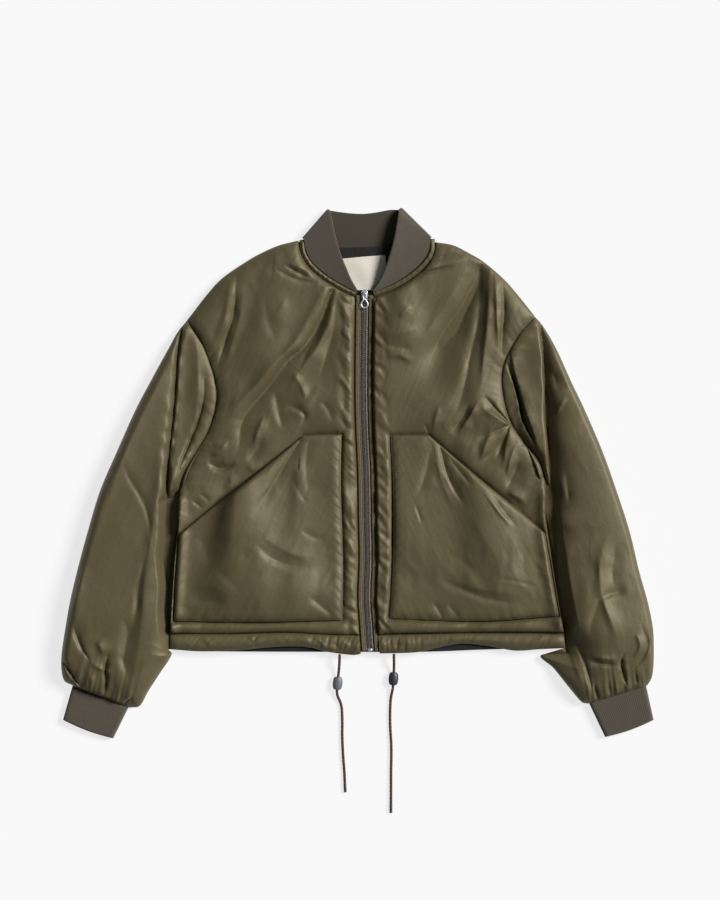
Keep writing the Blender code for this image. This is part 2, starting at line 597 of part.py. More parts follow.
def build_front(side):
    """A front: thin at its seams, full between them, flat where its pocket lies."""
    plan = front_plan(side)
    fade = round_over(distance_to(plan, plan[0]), SHOULDER_ROUND)
    fade *= round_over(distance_to(plan, plan[ARMHOLE_CELLS:, 0]), SHOULDER_ROUND)
    seams = np.ones(plan.shape[:2])
    for seam in (plan[:ARMHOLE_CELLS + 1, 0], plan[:, -1], plan[-1]):
        seams *= round_over(distance_to(plan, seam), SEAM_ROUND)
    full = SEAM_THICKNESS + (FRONT_THICKNESS - SEAM_THICKNESS) * seams
    relief = fold_relief(plan, FOLDS["front_" + side]) * seams * fade
    relief += zip_puckers(plan) * seams
    height = FRONT_BASE + FRONT_EDGE + (full - FRONT_EDGE) * fade + relief
    pocket = outline_of(pocket_plan(side))
    from_pocket = distance_to(plan, pocket)
    from_pocket[inside_outline(plan, pocket)] = 0.0
    seat = POCKET_SEAT - LAYER_GAP
    height = seat + (height - seat) * blend_step(from_pocket, POCKET_LEVEL, POCKET_FADE)
    laid_piece("front_" + side, plan, height, FRONT_BASE, "olive_nylon")


def zip_puckers(plan):
    """Small gathers along the centre front, fading away from it."""
    from_zip = distance_to(plan, plan[:, -1])
    along = (plan[..., 1] - ZIP_BOTTOM) / (ZIP_TOP - ZIP_BOTTOM)
    waves = np.sin(2.0 * math.pi * ZIP_PUCKERS * along)
    return ZIP_PUCKER_DEPTH * waves * np.exp(-from_zip / ZIP_PUCKER_REACH)


def build_pocket(side):
    """A patch pocket lying on its front, with a slanted opening and a full middle."""
    plan = pocket_plan(side)
    from_edge = distance_to(plan, outline_of(plan))
    from_side = distance_to(plan, plan[POCKET_SLANT_CELLS:, 0])
    fullness = 0.45 + 0.55 * round_over(from_edge, POCKET_ROUND)
    fullness *= 0.45 + 0.55 * round_over(from_side, POCKET_SIDE_ROUND)
    height = POCKET_SEAT + POCKET_RIM + (POCKET_THICKNESS - POCKET_RIM) * fullness
    laid_piece("pocket_" + side, plan, height, POCKET_SEAT, "olive_nylon")


def back_plan():
    """Plan grid of the back, from shoulders and neck down to the casing."""
    third = BACK_CELLS_ACROSS // 3
    right_shoulder = smooth_line(SHOULDER["right"][::-1], third + 1)
    neck = smooth_line(BACK_NECK, third + 1)
    left_shoulder = smooth_line(SHOULDER["left"], third + 1)
    top = np.vstack([right_shoulder, neck[1:], left_shoulder[1:]])
    left, right = body_edge("right"), body_edge("left")
    seam = CASING_SEAM["right"][:3] + [(0.016, -0.2255)] + CASING_SEAM["left"][2::-1]
    bottom = smooth_line(seam, BACK_CELLS_ACROSS + 1)
    bottom[:, 1] += 0.5 * SEAM_GAP
    top[0], top[-1] = left[0], right[0]
    bottom[0], bottom[-1] = left[-1], right[-1]
    return patch(top, right, bottom, left)


def build_back():
    """The back: flat on top under the fronts, its underside lifted at the outer edges."""
    plan = back_plan()
    third = BACK_CELLS_ACROSS // 3
    edges = [plan[0, :third + 1], plan[0, 2 * third:], plan[ARMHOLE_CELLS:, 0], plan[ARMHOLE_CELLS:, -1]]
    lift = np.zeros(plan.shape[:2])
    for edge in edges:
        lift = np.maximum(lift, EDGE_LIFT * (1.0 - round_over(distance_to(plan, edge), BACK_ROUND)))
    for seam in (plan[:ARMHOLE_CELLS + 1, 0], plan[:ARMHOLE_CELLS + 1, -1]):
        lift = np.maximum(lift, SEAM_LIFT * (1.0 - round_over(distance_to(plan, seam), BACK_ROUND)))
    laid_piece("back", plan, BACK_THICKNESS, lift, "olive_nylon")


def build_front_casing(side):
    """Drawcord casing under a front, puckered along its length."""
    cells = 2 * CASING_PUCKERS
    top = smooth_line(CASING_SEAM[side], cells + 1)
    top[:, 1] -= SEAM_GAP
    bottom = smooth_line(FRONT_HEM[side], cells + 1)
    rows = 5
    left = np.linspace(top[0], bottom[0], rows)
    right = zip_edge(side, PLACKET_OUTER + SEAM_GAP, rows, top[-1, 1], bottom[-1, 1])
    top[-1], bottom[-1] = right[0], right[-1]
    plan = patch(top, right, bottom, left)
    across = np.linspace(0.0, 1.0, rows)[:, None]
    along = np.arange(cells + 1)[None, :]
    crown = np.sin(math.pi * (0.12 + 0.76 * across)) ** 0.6
    puckers = CASING_PUCKER_DEPTH * np.cos(math.pi * along) * np.sin(math.pi * (0.2 + 0.6 * across))
    puckers = puckers * (0.6 + 0.4 * np.sin(along * 1.7 + 2.0 * across))
    fade = round_over(distance_to(plan, left), SEAM_ROUND)
    fullness = 0.35 + 0.65 * fade
    height = FRONT_BASE + CASING_EDGE + (CASING_THICKNESS * crown - CASING_EDGE) * fullness + puckers * fade
    laid_piece("hem_casing_front_" + side, plan, height, FRONT_BASE, "olive_nylon")


def build_back_casing():
    """Drawcord casing of the back, with the dark hem facing lying on it."""
    top = back_plan()[-1] - (0.0, SEAM_GAP)
    bottom = smooth_line(BACK_HEM, BACK_CELLS_ACROSS + 1)
    rows = 4
    left = np.linspace(top[0], bottom[0], rows)
    right = np.linspace(top[-1], bottom[-1], rows)
    plan = patch(top, right, bottom, left)
    facing = LINING_THICKNESS + LAYER_GAP
    lift = CASING_LIFT * (1.0 - round_over(distance_to(plan, bottom), CASING_THICKNESS))
    for edge in (left, right):
        lift = np.maximum(lift, 0.9 * EDGE_LIFT * (1.0 - round_over(distance_to(plan, edge), BACK_ROUND)))
    laid_piece("hem_casing_back", plan, BACK_THICKNESS - facing, lift, "olive_nylon")
    inset = 0.0015
    strip = plan[:, 1:-1].copy()
    strip[0, :, 1] -= inset
    strip[-1, :, 1] += inset
    laid_piece("hem_facing", strip, BACK_THICKNESS, BACK_THICKNESS - LINING_THICKNESS, "black_lining")


def build_binding(side):
    """Narrow binding round the front neckline, outside the collar seam."""
    inner = smooth_line(NECKLINE[side], NECK_CELLS + 1)
    inner = moved_sideways(inner, np.full(len(inner), hand(side) * -0.5 * SEAM_GAP))
    outer = moved_sideways(inner, np.full(len(inner), hand(side) * -(BINDING_WIDTH - 0.5 * SEAM_GAP)))
    share = np.linspace(0.0, 1.0, 5)[None, :, None]
    plan = inner[:, None] * (1.0 - share) + outer[:, None] * share
    crown = np.sin(math.pi * (0.15 + 0.70 * share[..., 0]))
    fade = 0.45 + 0.55 * round_over(distance_to(plan, plan[-1]), 0.022)
    height = FRONT_BASE + BINDING_HEIGHT * crown ** 0.4 * fade
    laid_piece("neck_binding_" + side, plan, height, FRONT_BASE, "olive_nylon")


def collar_path():
    """Lower and upper edge of the collar's middle surface, from one front end round to the other.

    Each wing lies over the back part, and a half-turn at its fold line joins the two.
    """
    fine = 60
    rise = (WING_HIGH - WING_LOW) * np.sin(math.pi * np.linspace(0.0, 1.0, fine)) ** 0.5
    wings = {}
    for side in ("right", "left"):
        low = moved_sideways(smooth_line(NECKLINE[side], fine), np.full(fine, hand(side) * COLLAR_SEAM_INSET))
        high = smooth_line(COLLAR_FREE_EDGE[side], fine)
        wings[side] = (np.column_stack([low, np.full(fine, WING_LOW)]),
                       np.column_stack([high, WING_LOW + rise]))
    lying = np.full(fine, 0.5 * RIB_THICKNESS + RIB_DEPTH)
    back_low = np.column_stack([smooth_line(COLLAR_BACK_SEAM, fine), np.full(fine, COLLAR_SEAM_HEIGHT)])
    back_high = np.column_stack([smooth_line(COLLAR_BACK_TOP, fine), lying])
    back_low[0, :2], back_low[-1, :2] = wings["right"][0][-1, :2], wings["left"][0][-1, :2]
    first_turn = half_turn(wings["right"][0][-1], wings["right"][1][-1], back_low[0], back_high[0])
    second_turn = half_turn(back_low[-1], back_high[-1], wings["left"][0][-1], wings["left"][1][-1])
    low = [wings["right"][0], first_turn[0], back_low, second_turn[0], wings["left"][0][::-1]]
    high = [wings["right"][1], first_turn[1], back_high, second_turn[1], wings["left"][1][::-1]]
    return np.vstack(low), np.vstack(high)


def half_turn(low_start, high_start, low_end, high_end):
    """Lower and upper edge round the collar's fold between a wing and the back part."""
    fold = high_start[:2] - low_start[:2]
    outward = np.array([-fold[1], fold[0]]) / np.linalg.norm(fold)
    if outward[0] * (low_start[0] - NECK_MIDDLE) < 0.0:
        outward = -outward
    angles = np.radians(np.linspace(60.0, -60.0, 5))
    edges = []
    for start, end in ((low_start, low_end), (high_start, high_end)):
        middle = 0.5 * (start[2] + end[2])
        radius = 0.5 * (start[2] - end[2])
        plan = start[:2] + outward * abs(radius) * np.cos(angles)[:, None]
        edges.append(np.column_stack([plan, middle + radius * np.sin(angles)]))
    return edges


def build_collar():
    """Ribbed collar: a folded band that tapers to both front ends, with ribs from seam to free edge."""
    low, high = collar_path()
    middle = 0.5 * (low + high)
    steps = np.linalg.norm(np.diff(middle, axis=0), axis=1)
    along = np.concatenate([[0.0], np.cumsum(steps)])
    ribs = int(round(along[-1] / RIB_PITCH))
    places = np.linspace(0.0, along[-1], 2 * ribs + 1)
    low = np.stack([np.interp(places, along, low[:, k]) for k in range(3)], axis=1)
    high = np.stack([np.interp(places, along, high[:, k]) for k in range(3)], axis=1)
    forward = np.gradient(0.5 * (low + high), axis=0)
    across = high - low
    normal = np.cross(forward, across)
    normal /= np.linalg.norm(normal, axis=1)[:, None]
    wave = (np.arange(len(places)) % 2) * 2.0 - 1.0
    half = 0.5 * RIB_THICKNESS + 0.5 * RIB_DEPTH * wave
    half = half[:, None]
    rings = np.stack([
        low + normal * half,
        low + across * 0.50 + normal * half,
        low + across * 0.94 + normal * half * 0.9,
        low + across,
        low + across * 0.94 - normal * half * 0.9,
        low - normal * half,
    ], axis=1)
    rings[..., 2] = np.maximum(rings[..., 2], 0.0)
    closed_rings("collar", rings, "rib_knit")


def build_neck_inside():
    """Lining that shows inside the neck, and the plain label sewn on it."""
    rows = 9
    inset = 0.0018
    left = moved_sideways(smooth_line(NECKLINE["right"], rows)[::-1], np.full(rows, inset))
    right = moved_sideways(smooth_line(NECKLINE["left"], rows)[::-1], np.full(rows, -inset))
    columns = 9
    top = smooth_line([left[0], (-0.023, 0.3085), (0.012, 0.3070), (0.048, 0.3085), right[0]], columns)
    bottom = np.linspace(left[-1], right[-1], columns)
    bottom[:, 1] -= 0.005 * np.sin(math.pi * np.linspace(0.0, 1.0, columns))
    plan = patch(top, right, bottom, left)
    lining_top = FRONT_BASE + LINING_THICKNESS
    laid_piece("neck_lining", plan, lining_top, FRONT_BASE, "black_lining")
    label_top = smooth_line([(-0.0235, 0.3005), (0.007, 0.3020), (0.0380, 0.3010)], 5)
    label_bottom = smooth_line([(-0.0130, 0.2640), (0.010, 0.2625), (0.0320, 0.2640)], 5)
    label = patch(label_top, np.linspace(label_top[-1], label_bottom[-1], 5), label_bottom,
                  np.linspace(label_top[0], label_bottom[0], 5))
    base = lining_top + LAYER_GAP
    laid_piece("neck_label", label, base + LABEL_THICKNESS, base, "cotton_label")


def sleeve_sections(side):
    """Plan points of each sleeve section, from the armhole seam to the cuff seam."""
    share = rounded_spread(ARMHOLE_CELLS)[:, None]
    first = moved_sideways(armhole_line(side), np.full(ARMHOLE_CELLS + 1, hand(side) * 0.5 * SEAM_GAP))
    bulge = first - (first[0] + (first[-1] - first[0]) * share)
    bulge /= np.linalg.norm(bulge, axis=1).max()
    lines = [first]
    crowns = [0.0]
    for section in SLEEVE[side]:
        outer = np.array([section.outer_x, section.outer_y])
        inner = np.array([section.inner_x, section.inner_y])
        lines.append(outer + (inner - outer) * share + bulge * section.bow)
        crowns.append(section.crown)
    return np.stack(lines), np.array(crowns), first


def build_sleeve(side):
    """A sleeve: a padded tube pressed flat, gathered into its cuff, open at both ends."""
    lines, crowns, first = sleeve_sections(side)
    count, columns = lines.shape[:2]
    chord = np.linalg.norm(np.diff(lines, axis=1), axis=2)
    along = np.concatenate([np.zeros((count, 1)), np.cumsum(chord, axis=1)], axis=1)
    width = along[:, -1:]
    from_edge = np.minimum(along, width - along)
    round_width = np.minimum(SLEEVE_ROUND, 0.42 * width)
    rise = round_over(from_edge, round_width)
    edge_height = np.minimum(SLEEVE_EDGE, 0.45 * np.maximum(crowns, CUFF_HEIGHT))[:, None]
    top = edge_height + (crowns[:, None] - edge_height) * rise
    share = along / width
    run = np.arange(count) / (count - 1.0)
    relief = fold_relief(lines, FOLDS["sleeve_" + side]) * rise
    gather = blend_step(run, 0.70, 0.93)[:, None] * rise
    relief += GATHER_DEPTH * gather * np.cos(2.0 * math.pi * GATHER_WAVES * share)
    fade = blend_step(run, 0.0, 0.10)[:, None] * (1.0 - 0.6 * blend_step(run, 0.92, 1.0))[:, None]
    top += relief * fade
    top[0] = seam_height(first)
    lift = 1.0 - round_over(from_edge, BACK_ROUND)
    bottom = edge_height * lift
    bottom[0] = SEAM_LIFT + (edge_height[0] - SEAM_LIFT) * lift[0]
    top[:, 0] = bottom[:, 0] = edge_height[:, 0]
    top[:, -1] = bottom[:, -1] = edge_height[:, 0]
    over = np.dstack([lines, top])
    under = np.dstack([lines, bottom])[:, -2:0:-1]
    outer = np.concatenate([over, under], axis=1)

    inset = np.minimum(SLEEVE_WALL, 0.14 * width[:, 0])
    inner_rings = []
    for k in INNER_SECTIONS:
        places = inset[k] / width[k, 0] + share[k] * (1.0 - 2.0 * inset[k] / width[k, 0])
        line = np.stack([np.interp(places, share[k], lines[k, :, axis]) for axis in range(2)], axis=1)
        middle = SLEEVE_MIDDLE if k < count - 1 else 0.5 * CUFF_HEIGHT
        open_by = SLEEVE_SLIT if k else 2.0 * SEAM_GAP
        half = 0.5 * open_by * np.sin(math.pi * share[k]) ** 0.5
        upper = np.column_stack([line, middle + half])
        lower = np.column_stack([line, middle - half])[-2:0:-1]
        inner_rings.append(np.vstack([upper, lower]))
    tube_piece("sleeve_" + side, outer, np.stack(inner_rings), "olive_nylon")


def cuff_start(side):
    """The cuff's two corners at its sleeve, a seam gap past the sleeve's end."""
    last = SLEEVE[side][-1]
    outer, inner = np.array([last.outer_x, last.outer_y]), np.array([last.inner_x, last.inner_y])
    run = inner - outer
    past = np.array([run[1], -run[0]]) / np.linalg.norm(run) * hand(side) * -SEAM_GAP
    return outer + run * CUFF_INSET + past, inner - run * CUFF_INSET + past


def cuff_ring(side, step, inset, top, low):
    """Ring round the flat cuff a share of the way down it: plan line and the two heights on it.

    inset holds the ring's ends in from the cuff's two folded edges.
    """
    edge_a, edge_b = (a * (1 - step) + np.array(b) * step
                      for a, b in zip(cuff_start(side), CUFF_END[side]))
    width = np.linalg.norm(edge_b - edge_a)
    share = np.linspace(0.0, 1.0, 2 * CUFF_RIBS + 1)
    places = inset / width + share * (1.0 - 2.0 * inset / width)
    line = edge_a + (edge_b - edge_a) * places[:, None]
    from_edge = np.minimum(share, 1.0 - share) * width
    over = np.column_stack([line, top(from_edge)])
    under = np.column_stack([line, low(from_edge)])[-2:0:-1]
    return np.vstack([over, under])


def build_cuff(side):
    """A ribbed cuff: a flat tube of folded rib, its ribs running from seam to edge."""
    middle = 0.5 * CUFF_HEIGHT
    ribs = RIB_DEPTH * ((np.arange(2 * CUFF_RIBS + 1) % 2) * 2.0 - 1.0)
    outer = []
    for step, press in ((0.0, 0.86), (0.08, 1.0), (0.90, 1.0), (1.0, 0.80)):
        outer.append(cuff_ring(side, step, 0.0,
                               lambda gap: middle + (middle * press + ribs) * round_over(gap, CUFF_ROUND),
                               lambda gap: middle * (1.0 - round_over(gap, CUFF_ROUND))))
    inner = []
    for step in (0.0, 1.0):
        inner.append(cuff_ring(side, step, RIB_THICKNESS,
                               lambda gap: middle + 0.5 * CUFF_SLIT * round_over(gap, CUFF_ROUND),
                               lambda gap: middle - 0.5 * CUFF_SLIT * round_over(gap, CUFF_ROUND)))
    tube_piece("cuff_" + side, np.stack(outer), np.stack(inner), "rib_knit")


def build_zip():
    """Plackets, tapes and chain along the zip's centre line, and the stop at its foot."""
    count = 25
    line = zip_centre(count)
    for side in ("right", "left"):
        sign = hand(side)
        tape_in = CHAIN_HALF_WIDTH + LAYER_GAP
        slot = LAYER_GAP
        placket = [(PLACKET_INNER, PLACKET_TOP - 0.0008), (PLACKET_INNER + 0.0012, PLACKET_TOP),
                   (PLACKET_OUTER - 0.0012, PLACKET_TOP), (PLACKET_OUTER, PLACKET_TOP - 0.0010),
                   (PLACKET_OUTER, FRONT_BASE), (PLACKET_INNER, FRONT_BASE),
                   (PLACKET_INNER, TAPE_BOTTOM - slot), (TAPE_HALF_WIDTH + slot, TAPE_BOTTOM - slot),
                   (TAPE_HALF_WIDTH + slot, TAPE_TOP + slot), (PLACKET_INNER, TAPE_TOP + slot)]
        tape = [(tape_in, TAPE_BOTTOM), (TAPE_HALF_WIDTH, TAPE_BOTTOM),
                (TAPE_HALF_WIDTH, TAPE_TOP), (tape_in, TAPE_TOP)]
        swept_bar("placket_" + side, line, [(sign * x, z) for x, z in placket], "olive_nylon")
        swept_bar("zip_tape_" + side, line, [(sign * x, z) for x, z in tape], "zip_tape")
    chain_top = SLIDER_TOP - SLIDER_LENGTH - LAYER_GAP
    chain = [(-CHAIN_HALF_WIDTH, CHAIN_BOTTOM), (CHAIN_HALF_WIDTH, CHAIN_BOTTOM),
             (CHAIN_HALF_WIDTH, CHAIN_TOP - 0.0006), (CHAIN_HALF_WIDTH - 0.0008, CHAIN_TOP),
             (0.0008 - CHAIN_HALF_WIDTH, CHAIN_TOP), (-CHAIN_HALF_WIDTH, CHAIN_TOP - 0.0006)]
    chain_foot = ZIP_BOTTOM + STOP_LENGTH + LAYER_GAP
    swept_bar("zip_chain", zip_centre(count, chain_top, chain_foot), chain, "gunmetal_zip")
    half, low, high = CHAIN_HALF_WIDTH, CHAIN_BOTTOM - STOP_PROUD, CHAIN_TOP + STOP_PROUD
    stop = [(-half, low), (half, low), (half, high), (-half, high)]
    swept_bar("zip_bottom_stop", zip_centre(3, ZIP_BOTTOM + STOP_LENGTH, ZIP_BOTTOM), stop, "gunmetal_zip")


def pivot_point():
    """Axis of the pull tab, across the zip inside the slider's bail."""
    y = SLIDER_TOP - PIVOT_DROP
    x = zip_centre(2, y, y - 0.001)[0, 0]
    z = CHAIN_TOP + LAYER_GAP + SLIDER_PLATE + PIVOT_RADIUS + PIVOT_PLAY
    return np.array([x, y, z])


def build_slider():
    """Slider: two plates joined by a post round the chain's head, with a bail over the pull's pin."""
    pivot = pivot_point()
    plate_top = pivot[2] - PIVOT_RADIUS - PIVOT_PLAY
    plate_low = plate_top - SLIDER_PLATE
    under_top = CHAIN_BOTTOM - LAYER_GAP
    under_low = under_top - SLIDER_PLATE
    half, post = 0.5 * SLIDER_WIDTH, 0.5 * SLIDER_POST
    section = [(half, plate_low), (half, plate_top - 0.0004), (half - 0.0006, plate_top),
               (0.0006 - half, plate_top), (-half, plate_top - 0.0004), (-half, plate_low),
               (-post, plate_low), (-post, under_top), (-half, under_top), (-half, under_low),
               (half, under_low), (half, under_top), (post, under_top), (post, plate_low)]
    taper = ((0.0, 0.72), (0.0018, 0.95), (0.0045, 1.0), (0.0085, 0.86), (SLIDER_LENGTH, 0.70))
    rings = []
    for down, share in taper:
        rings.append([(pivot[0] + x * share, SLIDER_TOP - down, z) for x, z in section])
    body = closed_rings("zip_slider", np.array(rings), "nickel_slider")
    half_span, half_width = 0.5 * BAIL_SPAN, 0.5 * BAIL_WIDTH
    foot = plate_top - BAIL_SINK
    crest = foot + BAIL_RISE
    under = crest - BAIL_WALL
    bevel = 0.0008
    arch = [(-half_span, foot), (-half_span, crest - bevel), (bevel - half_span, crest),
            (half_span - bevel, crest), (half_span, crest - bevel), (half_span, foot),
            (half_span - BAIL_WALL, foot), (half_span - BAIL_WALL, under),
            (BAIL_WALL - half_span, under), (BAIL_WALL - half_span, foot)]
    rings = np.array([[(pivot[0] + x, pivot[1] + y, z) for y, z in arch] for x in (-half_width, half_width)])
    bail = closed_rings("bail_shape", rings, "nickel_slider")
    join = body.modifiers.new("bail", "BOOLEAN")
    join.operation = "UNION"
    join.solver = "EXACT"
    join.object = bail
    bail.hide_render = True
    bail.display_type = "WIRE"


def build_pull():
    """Pull tab: a flat plate with a window round the bail, its pin on the pivot, and a rounded end hole."""
    pivot = pivot_point()
    half = 0.5 * PULL_WIDTH
    thick = 0.5 * PULL_THICKNESS
    shoulder = -PULL_WINDOW_END
    outline = [(PULL_NECK, PIVOT_RADIUS), (PULL_NECK, shoulder - 0.0008), (half, shoulder - 0.0040)]
    round_count = 9
    centre_y = -PULL_LENGTH + PIVOT_RADIUS + half
    for k in range(round_count):
        angle = math.pi * k / (round_count - 1)
        outline.append((half * math.cos(angle), centre_y - half * math.sin(angle)))
    outline += [(-half, shoulder - 0.0040), (-PULL_NECK, shoulder - 0.0008), (-PULL_NECK, PIVOT_RADIUS)]
    plate = np.array([[(pivot[0] + x, pivot[1] + y, pivot[2] + z) for x, y in outline]
                      for z in (-thick, thick)])
    tab = closed_rings("zip_pull", plate, "nickel_slider", tuple(pivot))
    window = [(-PULL_WINDOW, -PIVOT_RADIUS), (PULL_WINDOW, -PIVOT_RADIUS),
              (PULL_WINDOW, -PULL_WINDOW_END), (-PULL_WINDOW, -PULL_WINDOW_END)]
    hole = []
    for k in range(16):
        angle = 2.0 * math.pi * k / 16
        hole.append((PULL_HOLE * math.cos(angle), centre_y - PULL_HOLE * math.sin(angle)))
    for label, shape in (("window_cut", window), ("hole_cut", hole)):
        rings = np.array([[(pivot[0] + x, pivot[1] + y, pivot[2] + z) for x, y in shape]
                          for z in (-4 * thick, 4 * thick)])
        cutter = closed_rings(label, rings, "nickel_slider")
        cutter.hide_render = True
        cutter.display_type = "WIRE"
        cut = tab.modifiers.new(label, "BOOLEAN")
        cut.operation = "DIFFERENCE"
        cut.solver = "EXACT"
        cut.object = cutter


def build_cord(side):
    """A drawcord from the casing to its tip, with its toggle and its aglet."""
    line = smooth_line(CORD_ROUTE[side], CORD_POINTS)
    curve = bpy.data.curves.new("drawcord_" + side, "CURVE")
    curve.dimensions = "3D"
    curve.bevel_depth = CORD_RADIUS
    curve.bevel_resolution = 2
    curve.use_fill_caps = True
    spline = curve.splines.new("POLY")
    spline.points.add(len(line) - 1)
    for point, place in zip(spline.points, line):
        point.co = (*place, 1.0)
    curve.materials.append(make_material("braided_cord"))
    item = bpy.data.objects.new("drawcord_" + side, curve)
    bpy.context.scene.collection.objects.link(item)
    build_toggle(side, line)
    build_aglet(side, line)


def frame_at(direction):
    """Two unit vectors across a direction: one level, one upward."""
    level = np.cross(direction, (0.0, 0.0, 1.0))
    level /= np.linalg.norm(level)
    return level, np.cross(level, direction)


def build_toggle(side, line):
    """Oval toggle threaded on the cord: a barrel with a bore along it."""
    place = np.array(TOGGLE_PLACE[side])
    nearest = int(np.argmin(np.linalg.norm(line[:, :2] - place, axis=1)))
    centre = line[nearest].copy()
    direction = line[nearest + 2] - line[nearest - 2]
    direction[2] = 0.0
    direction /= np.linalg.norm(direction)
    level, up = frame_at(direction)
    centre[2] = 0.5 * TOGGLE_HEIGHT + 0.0001
    steps = ((-0.5, 0.62), (-0.40, 0.86), (-0.15, 1.0), (0.15, 1.0), (0.40, 0.86), (0.5, 0.62))
    around = np.linspace(0.0, 2.0 * math.pi, 14, endpoint=False)
    outer, bore = [], []
    for step, share in steps:
        middle = centre + direction * step * TOGGLE_LENGTH
        outer.append(middle + 0.5 * share * (np.outer(np.cos(around), level) * TOGGLE_WIDTH
                                             + np.outer(np.sin(around), up) * TOGGLE_HEIGHT))
    for step in (-0.5, 0.5):
        middle = centre + direction * step * TOGGLE_LENGTH
        bore.append(middle + TOGGLE_BORE * (np.outer(np.cos(around), level) + np.outer(np.sin(around), up)))
    tube_piece("toggle_" + side, np.stack(outer), np.stack(bore), "toggle_plastic")


def build_aglet(side, line):
    """Tip crimped on the cord's end, lying on the surface."""
    direction = line[-1] - line[-2]
    direction /= np.linalg.norm(direction)
    level, up = frame_at(direction)
    around = np.linspace(0.0, 2.0 * math.pi, 10, endpoint=False)
    base = line[-1] + np.array([0.0, 0.0, AGLET_RADIUS - CORD_RADIUS])
    rings = []
    for step, share in ((0.0, 0.95), (0.06, 1.0), (0.90, 0.92), (1.0, 0.60)):
        middle = base + direction * (LAYER_GAP + step * AGLET_LENGTH)
        circle = np.outer(np.cos(around), level) + np.outer(np.sin(around), up)
        rings.append(middle + AGLET_RADIUS * share * circle)
    closed_rings("aglet_" + side, np.stack(rings), "gunmetal_zip")


def main():
    """Build the jacket from the surface upwards."""
    clear_scene()
    build_back()
    build_back_casing()
    for side in ("right", "left"):
        build_front(side)
        build_front_casing(side)
        build_pocket(side)
        build_binding(side)
        build_sleeve(side)
        build_cuff(side)
    build_collar()
    build_neck_inside()
    build_zip()
    build_slider()
    build_pull()
    for side in ("right", "left"):
        build_cord(side)


main()
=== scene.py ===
"""Looks of a padded bomber jacket, zipped up and laid flat on its back.

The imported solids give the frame: X runs across with the wearer's left at +X, Y runs from hem to
collar and Z is up from the surface, in metres.  Each padded panel is a height above a plan grid that
lies between its seam lines: it is pressed thin at a seam, rises in a quarter round to its full
height, and carries creases, puckers and crumple on top.  Creases are set in millimetres.
"""

import logging
import math
from dataclasses import dataclass, field
from enum import Enum
from typing import Any

import bmesh
import bpy
import numpy as np
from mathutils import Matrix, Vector


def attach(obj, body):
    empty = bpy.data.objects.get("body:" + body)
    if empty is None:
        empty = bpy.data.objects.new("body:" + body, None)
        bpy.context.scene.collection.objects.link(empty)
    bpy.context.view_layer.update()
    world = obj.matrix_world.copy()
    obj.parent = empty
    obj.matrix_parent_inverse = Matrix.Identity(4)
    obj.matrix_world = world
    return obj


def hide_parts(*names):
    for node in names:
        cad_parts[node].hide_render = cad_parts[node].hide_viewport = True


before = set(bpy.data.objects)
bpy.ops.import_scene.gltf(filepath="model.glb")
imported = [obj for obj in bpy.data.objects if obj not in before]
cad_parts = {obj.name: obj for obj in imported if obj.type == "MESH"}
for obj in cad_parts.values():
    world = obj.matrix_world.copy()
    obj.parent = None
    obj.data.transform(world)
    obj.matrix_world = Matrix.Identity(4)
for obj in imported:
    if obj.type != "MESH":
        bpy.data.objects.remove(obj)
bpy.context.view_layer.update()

Array = np.ndarray
Object = bpy.types.Object
Material = bpy.types.Material
Node = bpy.types.Node
NodeTree = bpy.types.NodeTree
LOG = logging.getLogger("jacket")
MM = 0.001
BODY = "jacket"

# Heights above the surface
BACK_TOP = 0.0090          # the fronts lie on the back here
FRONT_BASE = 0.0093
POCKET_BASE = 0.0160
LAYER_GAP = 0.0003
SEAM_GAP = 0.0002
NECK_MIDDLE = 0.0135       # x of the neck's middle
SIDE_ROLL = 0.0045         # how much fronts and pockets swell along their side seams
STITCH_INSET = 0.0022      # from a pocket's edge to its row of stitches
PLACKET_OUTER = 0.0130     # from the zip's centre line to a placket's outer edge

# Seam lines seen from above, x and y.  "right" and "left" are the wearer's.
SHOULDER = {
    "right": [(-0.084, 0.3245), (-0.11, 0.318), (-0.135, 0.307), (-0.156, 0.295), (-0.188, 0.273),
              (-0.209, 0.251), (-0.2385, 0.213)],
    "left": [(0.109, 0.3225), (0.134, 0.318), (0.156, 0.307), (0.176, 0.295), (0.202, 0.273),
             (0.222, 0.251), (0.2475, 0.219)],
}
ARMHOLE = {
    "right": [(-0.2385, 0.213), (-0.219, 0.184), (-0.208, 0.158), (-0.199, 0.128), (-0.197, 0.098),
              (-0.208, 0.06), (-0.227, 0.027), (-0.243, -0.002), (-0.2505, -0.03)],
    "left": [(0.2475, 0.219), (0.229, 0.198), (0.213, 0.172), (0.203, 0.148), (0.202, 0.118),
             (0.212, 0.075), (0.231, 0.045), (0.254, 0.016), (0.2635, -0.018)],
}
SIDE = {
    "right": [(-0.2505, -0.03), (-0.252, -0.083), (-0.256, -0.122), (-0.26, -0.18), (-0.2625, -0.224)],
    "left": [(0.2635, -0.018), (0.263, -0.062), (0.27, -0.112), (0.278, -0.164), (0.2885, -0.223)],
}
CASING_SEAM = {
    "right": [(-0.2625, -0.224), (-0.18, -0.2245), (-0.1, -0.2225), (-0.041, -0.2255), (0.0035, -0.226)],
    "left": [(0.2885, -0.223), (0.21, -0.2225), (0.12, -0.2235), (0.049, -0.2245), (0.0295, -0.226)],
}
FRONT_HEM = {
    "right": [(-0.263, -0.246), (-0.221, -0.249), (-0.172, -0.248), (-0.13, -0.244), (-0.09, -0.2422),
              (-0.065, -0.244), (-0.04, -0.25), (-0.008, -0.254), (0.0045, -0.2525)],
    "left": [(0.29, -0.2445), (0.255, -0.246), (0.22, -0.248), (0.185, -0.242), (0.15, -0.2385),
             (0.129, -0.2405), (0.108, -0.245), (0.08, -0.2505), (0.031, -0.252)],
}
